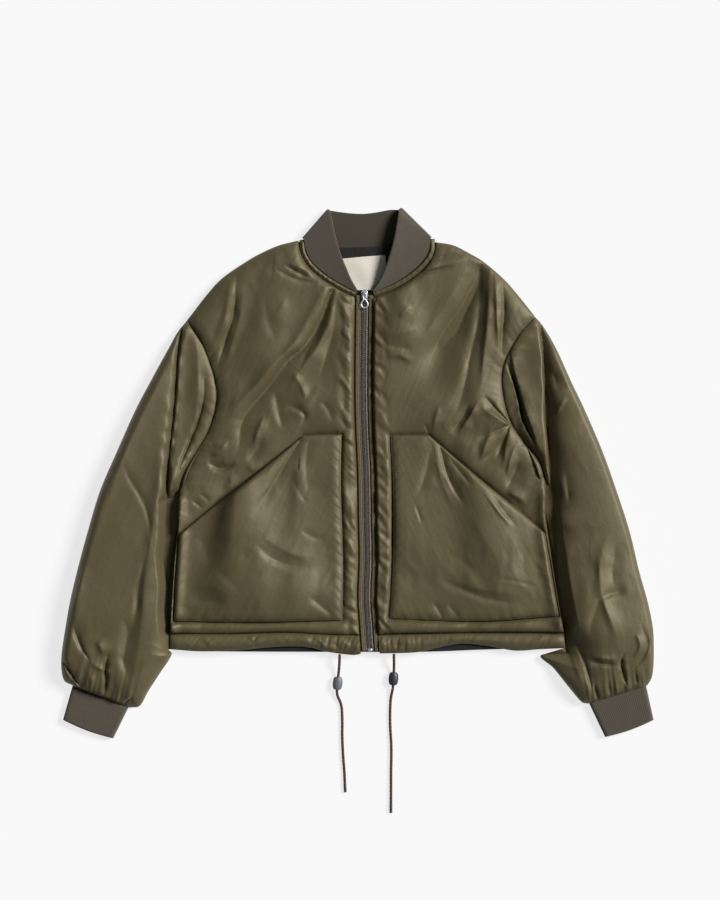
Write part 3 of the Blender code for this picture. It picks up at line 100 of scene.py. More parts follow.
BACK_HEM = [(-0.263, -0.246), (-0.221, -0.2488), (-0.151, -0.2496), (-0.039, -0.25), (0.067, -0.2502),
            (0.118, -0.2492), (0.171, -0.247), (0.24, -0.2452), (0.29, -0.2445)]
BACK_NECK = [(-0.084, 0.3245), (-0.072, 0.3185), (-0.053, 0.314), (-0.023, 0.3105), (0.01, 0.309),
             (0.048, 0.3105), (0.078, 0.314), (0.098, 0.318), (0.109, 0.3225)]
NECKLINE = {
    "right": [(-0.002, 0.2535), (-0.011, 0.2575), (-0.025, 0.265), (-0.044, 0.277), (-0.06, 0.2905),
              (-0.069, 0.303), (-0.073, 0.313), (-0.0745, 0.3215)],
    "left": [(0.0215, 0.2535), (0.036, 0.259), (0.052, 0.266), (0.069, 0.2765), (0.085, 0.2895),
             (0.0955, 0.302), (0.1, 0.312), (0.1015, 0.321)],
}
COLLAR_FREE_EDGE = {
    "right": [(-0.0012, 0.257), (-0.0085, 0.2695), (-0.015, 0.285), (-0.0235, 0.306), (-0.0303, 0.329),
              (-0.0342, 0.348), (-0.038, 0.3665)],
    "left": [(0.0212, 0.2565), (0.03, 0.268), (0.0378, 0.2845), (0.0442, 0.303), (0.0502, 0.325),
             (0.0543, 0.347), (0.0576, 0.3672)],
}
COLLAR_BACK_SEAM = [(-0.0755, 0.3262), (-0.053, 0.316), (-0.023, 0.3122), (0.01, 0.3107),
                    (0.048, 0.3122), (0.078, 0.316), (0.1018, 0.3272)]
COLLAR_BACK_TOP = [(-0.038, 0.3672), (-0.02, 0.3646), (-0.006, 0.3632), (0.009, 0.3628), (0.026, 0.3648),
                   (0.045, 0.3682), (0.0576, 0.3682)]
NECK_END = {"right": (-0.0755, 0.3262), "left": (0.1018, 0.3272)}    # where the bindings pass the shoulder
ZIP_LINE = [(0.0095, 0.262), (0.008, 0.134), (0.009, 0.067), (0.012, -0.001), (0.013, -0.069),
            (0.014, -0.12), (0.0122, -0.171), (0.014, -0.204), (0.0178, -0.256)]
POCKET_TOP = {
    "right": [(-0.076, 0.052), (-0.049, 0.0535), (-0.022, 0.054)],
    "left": [(0.099, 0.053), (0.072, 0.053), (0.045, 0.0525)],
}
POCKET_INNER = {
    "right": [(-0.022, 0.054), (-0.023, -0.01), (-0.021, -0.088), (-0.02, -0.147), (-0.0215, -0.206)],
    "left": [(0.045, 0.0525), (0.048, -0.01), (0.049, -0.088), (0.046, -0.167), (0.043, -0.2035)],
}
POCKET_BOTTOM = {
    "right": [(-0.257, -0.2075), (-0.14, -0.2085), (-0.0215, -0.206)],
    "left": [(0.281, -0.2), (0.17, -0.2075), (0.043, -0.2035)],
}
POCKET_SLANT = {
    "right": [(-0.076, 0.052), (-0.153, -0.01), (-0.208, -0.0515), (-0.249, -0.086)],
    "left": [(0.099, 0.053), (0.173, -0.01), (0.227, -0.054), (0.2615, -0.084)],
}
POCKET_SIDE = {
    "right": [(-0.249, -0.086), (-0.2535, -0.145), (-0.257, -0.2075)],
    "left": [(0.2615, -0.084), (0.2715, -0.145), (0.281, -0.2)],
}

# Sleeve sections from armhole to cuff: outer x and y, inner x and y, the crown's height, and how far
# the section's middle bows towards the body
SLEEVE = {
    "right": [
        (-0.252, 0.196, -0.2535, -0.045, 0.02, 0.042),
        (-0.266, 0.171, -0.2545, -0.061, 0.025, 0.033),
        (-0.289, 0.129, -0.255, -0.08, 0.029, 0.024),
        (-0.311, 0.087, -0.257, -0.102, 0.031, 0.018),
        (-0.336, 0.031, -0.2595, -0.128, 0.032, 0.013),
        (-0.36, -0.025, -0.262, -0.156, 0.0325, 0.009),
        (-0.377, -0.081, -0.264, -0.186, 0.033, 0.006),
        (-0.392, -0.137, -0.2655, -0.216, 0.0335, 0.003),
        (-0.402, -0.18, -0.266, -0.244, 0.0335, 0.0),
        (-0.4085, -0.217, -0.26, -0.254, 0.033, 0.0),
        (-0.4135, -0.251, -0.277, -0.281, 0.0315, -0.002),
        (-0.414, -0.274, -0.2925, -0.305, 0.028, -0.002),
        (-0.41, -0.29, -0.304, -0.325, 0.021, -0.001),
        (-0.4005, -0.296, -0.318, -0.328, 0.013, 0.0),
    ],
    "left": [
        (0.26, 0.204, 0.2665, -0.034, 0.02, 0.042),
        (0.278, 0.173, 0.267, -0.052, 0.025, 0.033),
        (0.298, 0.129, 0.268, -0.072, 0.029, 0.024),
        (0.318, 0.087, 0.2715, -0.095, 0.031, 0.018),
        (0.342, 0.031, 0.2755, -0.122, 0.032, 0.013),
        (0.362, -0.025, 0.28, -0.151, 0.0325, 0.009),
        (0.38, -0.081, 0.285, -0.183, 0.033, 0.006),
        (0.3935, -0.137, 0.29, -0.213, 0.0335, 0.003),
        (0.4055, -0.18, 0.294, -0.249, 0.0335, 0.0),
        (0.4125, -0.215, 0.256, -0.255, 0.033, 0.0),
        (0.414, -0.243, 0.274, -0.273, 0.031, -0.002),
        (0.4135, -0.269, 0.294, -0.298, 0.027, -0.002),
        (0.411, -0.286, 0.312, -0.319, 0.021, -0.001),
        (0.4055, -0.2965, 0.3215, -0.3225, 0.013, 0.0),
    ],
}
CUFF_END = {
    "right": ((-0.412, -0.345), (-0.3415, -0.371)),
    "left": ((0.414, -0.345), (0.346, -0.369)),
}

# Drawcord routes from the hem to the tip
CORD_ROUTE = {
    "right": [(-0.0250, -0.2532, 0.0130), (-0.0252, -0.2600, 0.0122), (-0.0256, -0.2690, 0.0090),
              (-0.0264, -0.2780, 0.0062), (-0.0272, -0.2850, 0.0053), (-0.0280, -0.2950, 0.0053),
              (-0.0288, -0.3050, 0.0053), (-0.0280, -0.3120, 0.0040), (-0.0248, -0.3190, 0.0024),
              (-0.0222, -0.3290, 0.0021), (-0.0214, -0.3480, 0.0021), (-0.0215, -0.3660, 0.0021),
              (-0.0209, -0.3840, 0.0021), (-0.0198, -0.4020, 0.0021), (-0.0186, -0.4170, 0.0021),
              (-0.0178, -0.4340, 0.0021)],
    "left": [(0.0508, -0.2526, 0.0130), (0.0508, -0.2590, 0.0122), (0.0510, -0.2660, 0.0088),
             (0.0509, -0.2730, 0.0062), (0.0506, -0.2800, 0.0053), (0.0500, -0.2900, 0.0053),
             (0.0494, -0.3000, 0.0053), (0.0480, -0.3075, 0.0038), (0.0464, -0.3160, 0.0023),
             (0.0456, -0.3300, 0.0021), (0.0454, -0.3460, 0.0021), (0.0460, -0.3620, 0.0021),
             (0.0470, -0.3780, 0.0021), (0.0472, -0.3960, 0.0021), (0.0468, -0.4180, 0.0021),
             (0.0468, -0.4400, 0.0021), (0.0467, -0.4630, 0.0021)],
}
STOP_PLACE = {"right": (-0.0280, -0.2950), "left": (0.0500, -0.2900)}


class Side(Enum):
    """Side of the garment, as its wearer names it."""

    RIGHT = "right"
    LEFT = "left"

    @property
    def sign(self) -> float:
        """-1 for the right, which lies at -X, and 1 for the left."""
        return self.pick(-1.0, 1.0)

    def pick(self, right: Any, left: Any) -> Any:
        """The first of two values on the right side, the second on the left."""
        return right if self is Side.RIGHT else left


def lengths(line: Array) -> Array:
    """Length along a line up to each of its points: the running sum of its steps."""
    return np.concatenate([[0.0], np.cumsum(np.linalg.norm(np.diff(line, axis=0), axis=1))])


def read_at(line: Array, along: Array, places: Array) -> Array:
    """Rows of a line at other places along it, where along holds the place of each of its own rows."""
    return np.stack([np.interp(places, along, column) for column in line.T], axis=-1)


def unit(vectors: Array) -> Array:
    """Vectors of the same directions, each with a length of 1."""
    return vectors / np.linalg.norm(vectors, axis=-1, keepdims=True)


def turns(count: int) -> Array:
    """Angles of points that are evenly spread round a circle."""
    return np.linspace(0.0, 2.0 * math.pi, count, endpoint=False)


def squared_off(wave: Array, power: float) -> Array:
    """A sine or cosine with its size raised to a power: one below 1 makes a circle squarer."""
    return np.sign(wave) * np.abs(wave) ** power


def bell(x: Array, middle: float | Array, width: float) -> Array:
    """Bell of height 1: e to the power of minus the square of the distance over the width."""
    return np.exp(-((x - middle) / width) ** 2)


def catmull_rom(knots: Array, places: Array) -> Array:
    """Smooth curve through its knots: a cubic between two knots, shaped by the knots beside them.

    Args:
        knots: Points or rows of values that the curve passes through.
        places: Where to read it, counted in knots from 0.

    Returns:
        One row for each place.
    """
    padded = np.vstack([2 * knots[0] - knots[1], knots, 2 * knots[-1] - knots[-2]])
    index = np.clip(np.floor(places).astype(int), 0, len(knots) - 2)
    t = (places - index)[:, None]
    a, b, c, d = (padded[index + k] for k in range(4))
    return 0.5 * (2 * b + (c - a) * t + (2 * a - 5 * b + 4 * c - d) * t ** 2
                  + (3 * b - a - 3 * c + d) * t ** 3)


def smooth_line(points: list | Array, count: int) -> Array:
    """Smooth curve through points, read at places that are evenly spread along its length.

    Args:
        points: Points that the curve passes through.
        count: Number of places.

    Returns:
        Array of count points.
    """
    knots = np.asarray(points, dtype=float)
    dense = catmull_rom(knots, np.linspace(0.0, len(knots) - 1.0, 24 * (len(knots) - 1) + 1))
    along = lengths(dense)
    return read_at(dense, along, np.linspace(0.0, along[-1], count))


def moved_sideways(line: Array, distance: float | Array) -> Array:
    """Move a plan line to its left by a distance, or to its right where that is below zero.

    Args:
        line: Points of the line.
        distance: How far it moves, or how far each point does.

    Returns:
        Points of the moved line.
    """
    slope = unit(np.gradient(line[:, :2], axis=0))
    normal = np.stack([-slope[:, 1], slope[:, 0]], axis=1)
    return line + normal * np.broadcast_to(distance, len(line))[:, None]


def patch(top: Array, right: Array, bottom: Array, left: Array) -> Array:
    """Grid between four edges: both ruled surfaces added, less the one through the corners.

    Args:
        top: Edge from left to right.
        right: Edge from top to bottom.
        bottom: Edge from left to right.
        left: Edge from top to bottom.

    Returns:
        Grid of plan points, rows from top to bottom.
    """
    u = np.linspace(0.0, 1.0, len(top))[None, :, None]
    v = np.linspace(0.0, 1.0, len(left))[:, None, None]
    across = (1 - v) * top[None] + v * bottom[None]
    down = (1 - u) * left[:, None] + u * right[:, None]
    corners = ((1 - u) * (1 - v) * top[0] + u * (1 - v) * top[-1]
               + (1 - u) * v * bottom[0] + u * v * bottom[-1])
    return across + down - corners


def beside(points: Array, line: Array) -> tuple[Array, Array, Array]:
    """Where plan points lie beside an open line.

    Args:
        points: Array of plan points.
        line: Points of the line.

    Returns:
        Distance to the line, length along it to the nearest place, and 1 to its left or -1.
    """
    flat = points.reshape(-1, 2)
    nearest = np.full(len(flat), np.inf)
    along = np.zeros(len(flat))
    turn = np.zeros(len(flat))
    before = 0.0
    for start, end in zip(line[:-1], line[1:]):
        run = end - start
        length = float(np.linalg.norm(run))
        offset = flat - start
        t = np.clip(offset @ run / length ** 2, 0.0, 1.0)
        gap = ((offset - t[:, None] * run) ** 2).sum(axis=1)
        closer = gap < nearest
        nearest = np.where(closer, gap, nearest)
        along = np.where(closer, before + t * length, along)
        turn = np.where(closer, run[0] * offset[:, 1] - run[1] * offset[:, 0], turn)
        before += length
    shape = points.shape[:-1]
    return np.sqrt(nearest).reshape(shape), along.reshape(shape), np.sign(turn).reshape(shape)


def inside_outline(points: Array, outline: Array) -> Array:
    """Find plan points inside a closed outline: those with an odd number of crossings to their right.

    Args:
        points: Plan points.
        outline: Points of the outline, the last at the first.

    Returns:
        True for each point inside.
    """
    x, y = points[..., 0], points[..., 1]
    crossings = np.zeros(x.shape, dtype=int)
    for (x0, y0), (x1, y1) in zip(outline[:-1], outline[1:]):
        if y0 != y1:
            crossings += ((y0 > y) != (y1 > y)) & (x < x0 + (y - y0) * (x1 - x0) / (y1 - y0))
    return crossings % 2 == 1


def round_over(distance: Array, radius: float | Array) -> Array:
    """Quarter round from 0 at an edge to 1 at the radius: the height of a circle above its edge."""
    x = np.clip(distance / radius, 0.0, 1.0)
    return np.sqrt(np.maximum(1.0 - (1.0 - x) ** 2, 0.0))


def blend_step(x: Array, low: float, high: float) -> Array:
    """Smooth step from 0 at low to 1 at high: three times the share squared, less twice its cube."""
    t = np.clip((x - low) / (high - low), 0.0, 1.0)
    return t * t * (3.0 - 2.0 * t)


def wander(places: Array, pitch: float, seed: int) -> Array:
    """Uneven wave: heights that change sign from cell to cell, each of a random size, joined smoothly.

    Args:
        places: Length along a seam.
        pitch: Mean distance from a crest to the next trough.
        seed: Seed of the random heights.

    Returns:
        Values from about -1 to 1.
    """
    draw = np.random.default_rng(seed)
    count = 256
    heights = draw.uniform(0.25, 1.0, count) * np.where(np.arange(count) % 2, 1.0, -1.0)
    shifted = places / pitch + 0.35 * np.sin(places / pitch * 0.7 + seed) + 64.0
    cell = np.floor(shifted).astype(int)
    t = shifted - cell
    t = t * t * t * (t * (6.0 * t - 15.0) + 10.0)
    return heights[cell % count] * (1.0 - t) + heights[(cell + 1) % count] * t


def noise(points: Array, pitch: float, seed: int) -> Array:
    """Gradient noise: random slopes at the corners of square cells, joined by a quintic blend.

    Args:
        points: Plan points.
        pitch: Cell size.
        seed: Seed of the random slopes.

    Returns:
        Values from about -0.7 to 0.7.
    """
    count = 128
    angle = np.random.default_rng(seed).uniform(0.0, 2.0 * math.pi, (count, count))
    scaled = points / pitch + 40.0
    cell = np.floor(scaled).astype(int)
    t = scaled - cell
    total = np.zeros(points.shape[:-1])
    blend = t * t * t * (t * (6.0 * t - 15.0) + 10.0)
    for i in (0, 1):
        for j in (0, 1):
            turn = angle[(cell[..., 0] + i) % count, (cell[..., 1] + j) % count]
            slope = np.cos(turn) * (t[..., 0] - i) + np.sin(turn) * (t[..., 1] - j)
            weight_x = blend[..., 0] if i else 1.0 - blend[..., 0]
            weight_y = blend[..., 1] if j else 1.0 - blend[..., 1]
            total += slope * weight_x * weight_y
    return total


def turned(points: Array, turn: float, stretch: float) -> Array:
    """Plan points measured along a direction and across it, the length along it divided by a stretch.

    Args:
        points: Plan points.
        turn: The direction, in degrees from X.
        stretch: What the length along it is divided by.

    Returns:
        Array of the same shape.
    """
    angle = math.radians(turn)
    along = points @ np.array([math.cos(angle), math.sin(angle)])
    across = points @ np.array([-math.sin(angle), math.cos(angle)])
    return np.stack([along / stretch, across], axis=-1)


def drift(points: Array, pitch: float, seed: int) -> Array:
    """Two noises, one for each axis, that bend a pattern when they are added to its points."""
    return np.stack([noise(points, pitch, seed + 1), noise(points, pitch, seed + 2)], axis=-1)


def crumple(points: Array, pitch: float, seed: int, turn: float, stretch: float) -> Array:
    """Soft hollows between thin ridges: one less twice the size of noise that is itself bent by noise.

    Args:
        points: Plan points.
        pitch: Size of the hollows.
        seed: Seed of the noise.
        turn: Direction of the ridges, in degrees from X.
        stretch: How much longer the ridges are than they are apart.

    Returns:
        Values from about -0.4 to 0.6.
    """
    laid = turned(points, turn, stretch)
    bent = laid + 0.45 * pitch * drift(laid, 2.1 * pitch, seed)
    return 0.6 - 2.0 * np.sqrt(noise(bent, pitch, seed) ** 2 + 0.004)


def facets(points: Array, pitch: float, seed: int, turn: float, stretch: float) -> Array:
    """Crisp folds: random heights on a bent lattice of triangles, joined by flat facets.

    The mean of seven readings close together rounds the edges where facets meet.

    Args:
        points: Plan points.
        pitch: Mean size of a facet across the folds.
        seed: Seed of the random heights.
        turn: Direction of the folds, in degrees from X.
        stretch: How much longer a facet is than it is wide.

    Returns:
        Values from about -1 to 1.
    """
    count = 128
    heights = np.random.default_rng(seed).uniform(-1.0, 1.0, (count, count))
    laid = turned(points, turn, stretch)
    bent = laid / pitch + 0.55 * drift(laid, 2.3 * pitch, seed)
    total = np.zeros(points.shape[:-1])
    swing = turns(6)
    for dx, dy in [(0.0, 0.0), *zip(0.07 * np.cos(swing), 0.07 * np.sin(swing))]:
        x, y = bent[..., 0] + dx, bent[..., 1] + dy
        skew = 0.3660 * (x + y)
        x, y = x + skew + 64.0, y + skew + 64.0
        i, j = np.floor(x).astype(int), np.floor(y).astype(int)
        u, v = x - i, y - j
        first = u > v
        large, small = np.maximum(u, v), np.minimum(u, v)
        total += ((1.0 - large) * heights[i % count, j % count]
                  + (large - small) * heights[(i + first) % count, (j + ~first) % count]
                  + small * heights[(i + 1) % count, (j + 1) % count])
    return total / 7.0


def crinkle(points: Array, seed: int, turn: float) -> Array:
    """Folds of crisp padded nylon: large, middle and small facets that follow the pull of the cloth.

    The middle and small ones are strong in some places and faint in others.  Fine long streaks run
    along the pull.

    Args:
        points: Plan points.
        seed: Seed of the random heights.
        turn: Direction of the pull, in degrees from X.

    Returns:
        Height that they add.
    """
    busy = blend_step(noise(points, 0.085, seed), -0.30, 0.35)
    streaks = noise(turned(points, turn, 7.0), 0.0052, seed + 5)
    return (0.0034 * facets(points, 0.080, seed + 1, turn, 1.9)
            + 0.0024 * busy * facets(points, 0.031, seed + 2, turn + 12.0, 1.7)
            + 0.0007 * busy * facets(points, 0.0120, seed + 3, turn - 15.0, 1.6)
            + 0.00019 * streaks)


SWELL_WIDTH = 20.0          # half width in millimetres from which a crease is a round swell


@dataclass(frozen=True)
class Crease:
    """A trough, or a ridge where depth is above zero, along a smooth line; sizes in millimetres."""

    route: tuple[tuple[float, float], ...]
    half_width: float
    depth: float
    start: float = 0.0      # share of the depth that it has at its first point
    sharp: float = 0.0      # 0 for a round section, 1 for a knife fold
    lean: float = 0.35      # how much wider its left flank is than its right one

    def height(self, points: Array) -> Array:
        """Height that the crease adds: a bell across, mixed with a pointed one, that fades to its ends.

        Args:
            points: Plan points.

        Returns:
            Height at each of them.
        """
        line = smooth_line(np.array(self.route) * MM, 26)
        width = self.half_width * MM
        reach = 5.5 * (1.0 + abs(self.lean)) * width
        inside = ((points > line.min(axis=0) - reach) & (points < line.max(axis=0) + reach)).all(axis=-1)
        total = np.zeros(points.shape[:-1])
        near = points[inside]
        if len(near) == 0:
            return total
        distance, along, flank = beside(near, line)
        run = along / lengths(line)[-1]
        spread = width * (1.0 + self.start * (run - 0.55)) * (1.0 + 0.25 * wander(along, 3.1 * width, 5))
        across = distance / np.maximum(spread, 0.4 * width) / (1.0 + self.lean * flank)
        hump = np.exp(-across ** 2)
        point = np.exp(-1.6 * (np.sqrt(across ** 2 + 0.012) - 0.11)) * (1.0 - blend_step(across, 2.5, 4.4))
        sharp = (0.45 + 0.55 * self.sharp) * (self.half_width < SWELL_WIDTH)
        fade = self.start + (1.0 - self.start) * blend_step(run, 0.0, 0.35)
        fade *= 1.0 - blend_step(run, 0.62, 1.0)
        total[inside] = self.depth * MM * fade * ((1.0 - sharp) * hump + sharp * point)
        return total


CREASE_GAIN = 1.25          # how much deeper the creases are drawn than the table says

# Creases of each panel: route in millimetres, half width and depth, then share of the depth at the
# start, sharpness and lean where they aren't the usual ones
CREASES = {
    "front_right": (
        Crease(((-37, 253), (-53, 210), (-76, 175), (-97, 158), (-120, 126), (-149, 92), (-162, 69),
                (-166, 34), (-179, 7)), 15, -8.0, 0.9, 0.7, 0.5),
        Crease(((-52, 248), (-76, 200), (-96, 172), (-138, 126), (-171, 89), (-190, 50)), 14, 3.6, 0.4, 0.1),
        Crease(((-41, 235), (-58, 193), (-78, 150), (-83, 116)), 13, -2.8, 0.2, 0.1),
        Crease(((-92, 141), (-79, 122), (-71, 99)), 6, 1.8),
        Crease(((-102, 85), (-90, 91), (-74, 80), (-81, 62)), 5, -2.4),
        Crease(((-128, 83), (-138, 60), (-146, 32)), 7, 2.8, 0, 0.2),
        Crease(((-116, 119), (-111, 88), (-103, 57)), 8, -2.4),
        Crease(((-103, 290), (-83, 279), (-62, 270)), 3.5, -2.4, 0, 0.6),
        Crease(((-104, 295), (-81, 286), (-61, 277)), 5, 1.4, 0, 0.2),
        Crease(((-120, 287), (-86, 270), (-51, 265)), 5, -2.0, 0, 0.5),
        Crease(((-169, 276), (-173, 225), (-184, 188), (-198, 139)), 4, -3.6, 0.1, 0.9),
        Crease(((-177, 276), (-183, 225), (-195, 186)), 9, 2.0, 0.1, 0.2),
        Crease(((-159, 270), (-163, 225), (-174, 183), (-191, 130)), 9, 1.8, 0.1, 0.2),
        Crease(((-125, 259), (-128, 234), (-123, 207), (-109, 178)), 12, -1.6),
        Crease(((-99, 245), (-110, 225), (-121, 209)), 8, 1.4),
        Crease(((-211, 20), (-201, 10), (-186, 6), (-167, 14)), 6, -3.6),
        Crease(((-208, 25), (-193, 29), (-180, 46)), 6, 2.6),
        Crease(((-132, 52), (-144, 28), (-156, 14)), 8, -3.0, 0.3),
        Crease(((-156, 10), (-142, 3), (-128, 10)), 6, 1.8),
        Crease(((-181, -1), (-176, -13), (-184, -27)), 8, 1.6),
        Crease(((-232, -38), (-222, -45), (-215, -52)), 3, -1.4, 0, 0.6),
        Crease(((-222, -29), (-212, -35), (-205, -43)), 3, -1.2, 0, 0.6),
        Crease(((-30, 248), (-34, 200), (-46, 155), (-58, 113)), 8, -1.5, 0.5),
        Crease(((-19, 245), (-18, 200), (-25, 155)), 7, 1.2, 0.4),
        Crease(((-53, 102), (-41, 88), (-34, 69)), 6, -1.6),
        Crease(((-120, 270), (-132, 200), (-162, 120)), 30, 4.6, 0.6, 0, 0.2),
        Crease(((-31, 256), (-39, 215), (-54, 180), (-84, 138), (-100, 110)), 12, 5.0, 0.5, 0.1, -0.3),
        Crease(((-90, 140), (-75, 105), (-60, 70)), 22, 2.6, 0.2, 0, 0.3),
    ),
    "front_left": (
        Crease(((60, 270), (62, 215), (72, 150)), 24, 4.0, 0.8, 0, 0.2),
        Crease(((166, 280), (143, 223), (121, 179), (103, 134), (92, 100)), 25, -7.5, 0.7, 0, 0.0),
        Crease(((158, 140), (169, 95), (176, 40)), 24, 4.6, 0.3, 0, 0.1),
        Crease(((170, 287), (163, 260), (142, 223), (111, 179), (100, 148)), 10, -4.6, 0.8),
        Crease(((152, 279), (129, 242), (101, 200), (79, 164)), 15, 2.8, 0.2),
        Crease(((171, 277), (169, 218), (157, 161), (145, 106), (128, 60)), 12, -3.6, 0.4, 0.4),
        Crease(((184, 279), (181, 214), (174, 147), (171, 105)), 7, 3.0, 0.3, 0.1),
        Crease(((201, 272), (204, 228), (201, 179), (204, 153)), 6, -4.4, 0.3, 0.8),
        Crease(((192, 276), (194, 214), (198, 169)), 4, 2.4, 0.2, 0.2),
        Crease(((211, 70), (192, 90), (174, 111)), 4, -3.0, 0.9),
        Crease(((209, 69), (188, 81), (169, 94)), 5, 2.4, 0.8),
        Crease(((211, 67), (188, 57), (167, 45)), 5, -2.4, 0.9),
        Crease(((211, 64), (201, 39), (191, 14)), 6, -3.0, 0.8),
        Crease(((212, 63), (206, 32), (204, 1)), 6, 2.4, 0.7),
        Crease(((157, 99), (145, 76), (129, 55)), 6, -3.6, 0, 0.5),
        Crease(((167, 99), (153, 74), (139, 55)), 4, 3.0, 0.2, 0.4),
        Crease(((114, 97), (108, 74), (103, 56)), 5, 1.8, 0, 0.3),
        Crease(((71, 272), (101, 280), (138, 290)), 3.5, -2.2, 0.5),
        Crease(((93, 297), (124, 301), (152, 305)), 4, -1.8, 0.5),
        Crease(((76, 281), (115, 288), (157, 300)), 6, 1.6, 0.4),
        Crease(((37, 155), (54, 165), (80, 153)), 6, 1.8),
        Crease(((37, 188), (59, 196), (87, 202)), 8, 1.5),
        Crease(((37, 178), (59, 175), (78, 171)), 6, -1.5),
        Crease(((57, 216), (66, 225), (75, 235)), 5, 1.5),
        Crease(((93, 70), (97, 59), (101, 49)), 3, -1.8, 0, 0.8),
        Crease(((211, 57), (187, 28), (157, 10)), 10, -3.6, 0.3, 0.2),
        Crease(((187, 63), (178, 38), (170, 13)), 7, 3.4, 0.2, 0.1),
        Crease(((226, 21), (216, -4), (206, -27)), 8, -3.4, 0.2, 0.2),
        Crease(((219, 38), (212, 15), (208, -7)), 5, 2.4, 0.1, 0.1),
        Crease(((206, -25), (223, -34), (237, -45)), 6, 3.0, 0, 0.2),
        Crease(((213, -42), (223, -50), (232, -57)), 5, -3.0, 0, 0.2),
        Crease(((254, 10), (260, -1), (262, -18)), 5, 1.8),
    ),
    "pocket_right": (
        Crease(((-166, -10), (-172, -100), (-176, -230)), 58, 13.0, 0.9, 0, 0.45),
        Crease(((-82, 0), (-86, -100), (-90, -220)), 26, 2.4, 0.9, 0, 0.4),
        Crease(((-81, 45), (-102, 11), (-123, -24), (-151, -66)), 7, -2.4, 0.8),
        Crease(((-92, 46), (-120, 7), (-142, -24)), 8, 1.0, 0.4),
        Crease(((-69, 41), (-72, 10), (-68, -38)), 8, -1.2, 0.6),
        Crease(((-92, -7), (-81, -27), (-68, -45)), 6, -1.0),
        Crease(((-146, -90), (-123, -116), (-92, -129), (-57, -130)), 8, -2.2),
        Crease(((-139, -80), (-111, -102), (-83, -115), (-53, -115)), 9, 1.2),
        Crease(((-240, -179), (-209, -178), (-179, -182)), 12, -1.6),
        Crease(((-201, -133), (-181, -147), (-160, -169)), 12, -1.5),
        Crease(((-228, -161), (-204, -158), (-181, -167)), 10, 1.0),
        Crease(((-71, -169), (-50, -186), (-30, -203)), 8, -2.0, 0, 0.6),
        Crease(((-81, -78), (-58, -91), (-44, -84)), 5, -1.0),
        Crease(((-177, -35), (-188, -66), (-193, -102)), 14, 1.2),
        Crease(((-221, -80), (-212, -111), (-201, -136)), 12, -1.0),
    ),
    "pocket_left": (
        Crease(((160, 0), (184, -100), (192, -230)), 46, 6.4, 0.8, 0, 0.1),
        Crease(((114, 39), (127, -8), (153, -53)), 4.5, -2.0, 0.8),
        Crease(((107, 38), (117, -10), (136, -55)), 6, 1.0, 0.5),
        Crease(((132, 15), (145, -1), (162, -22)), 5, -1.5, 0.5),
        Crease(((177, -28), (197, -55), (216, -77)), 4, 1.3, 0.3),
        Crease(((184, -25), (204, -55), (225, -78)), 4, -1.3, 0.3),
        Crease(((80, -41), (85, -57), (90, -73)), 3, -1.0),
        Crease(((107, -143), (143, -161), (185, -176), (230, -181)), 9, -2.4),
        Crease(((124, -146), (171, -162), (222, -168)), 8, 1.3),
        Crease(((157, -57), (183, -101), (199, -132)), 13, 1.3),
        Crease(((184, -146), (220, -151), (257, -161)), 2.5, -0.6),
        Crease(((101, 28), (93, -7), (79, -41)), 7, -1.5, 0.6),
        Crease(((104, -178), (115, -195), (121, -206)), 5, -1.4, 0, 0.6),
        Crease(((124, -181), (136, -196), (142, -206)), 5, -1.2, 0, 0.6),
        Crease(((247, -122), (257, -133), (260, -150)), 6, 1.2),
    ),
    "sleeve_right": (
        Crease(((-244, 206), (-251, 165), (-253, 130), (-257, 80), (-261, 46), (-264, 13), (-266, -38),
                (-267, -100), (-270, -170)), 4.5, -11, 0.6, 0.5, -0.2),
        Crease(((-240, 200), (-247, 160), (-249, 130), (-252, 90), (-255, 56), (-258, 13)),
               7, 3.6, 0.5, 0.3, 0.3),
        Crease(((-226, 186), (-223, 150), (-223, 110), (-229, 70)), 9, 3.4, 0.3, 0.0, -0.2),
        Crease(((-214, 130), (-215, 104), (-224, 70), (-247, 13), (-250, -10)), 3, -6.5, 0.2, 0.9),
        Crease(((-256, 175), (-285, 111), (-320, 38), (-338, -11), (-363, -85)), 6, 0.9, 0, 0.1),
        Crease(((-377, -122), (-389, -164), (-400, -199)), 5, 1.6, 0, 0.1),
        Crease(((-327, 25), (-320, -3), (-295, -49), (-284, -108)), 5, -1.5, 0, 0.2),
        Crease(((-274, 74), (-275, 0), (-286, -85), (-296, -150), (-300, -206), (-310, -281), (-313, -318)),
               14, 3.2, 0, 0),
        Crease(((-289, -94), (-303, -150), (-309, -199), (-319, -234)), 8, -2.0),
        Crease(((-328, -195), (-320, -220), (-324, -248), (-326, -263), (-314, -297)), 11, -3.4),
        Crease(((-397, -203), (-389, -234), (-373, -259), (-356, -277)), 5, -3.2, 0, 0.4),
        Crease(((-386, -231), (-372, -260), (-359, -272), (-342, -277)), 5, 2.6, 0, 0.2),
        Crease(((-363, -231), (-356, -245), (-352, -255)), 8, 2.6),
        Crease(((-348, -255), (-352, -274), (-351, -291), (-355, -314)), 3.5, -6.0, 0.3, 0.8),
        Crease(((-414, -258), (-400, -280), (-389, -295), (-382, -305)), 3.5, -5.0, 0.3, 0.8),
        Crease(((-317, -314), (-323, -319), (-327, -326)), 3.5, -4.0, 0.5, 0.6),
        Crease(((-337, -290), (-340, -307), (-342, -322)), 5, -1.6, 0.2),
        Crease(((-372, -279), (-370, -294), (-373, -308)), 6, 1.8, 0.2),
    ),
    "sleeve_left": (
        Crease(((322, -130), (320, -190), (330, -270)), 24, 4.4, 0.2, 0, 0.3),
        Crease(((253, 216), (259, 170), (262, 116), (263, 74), (267, 30), (270, -20), (272, -80),
                (278, -140), (286, -190)), 9, -17, 0.5, 0.6, 0.75),
        Crease(((212, 176), (220, 135), (232, 92), (246, 52), (256, 10)), 9, 4.4, 0.4, 0.1, 0.9),
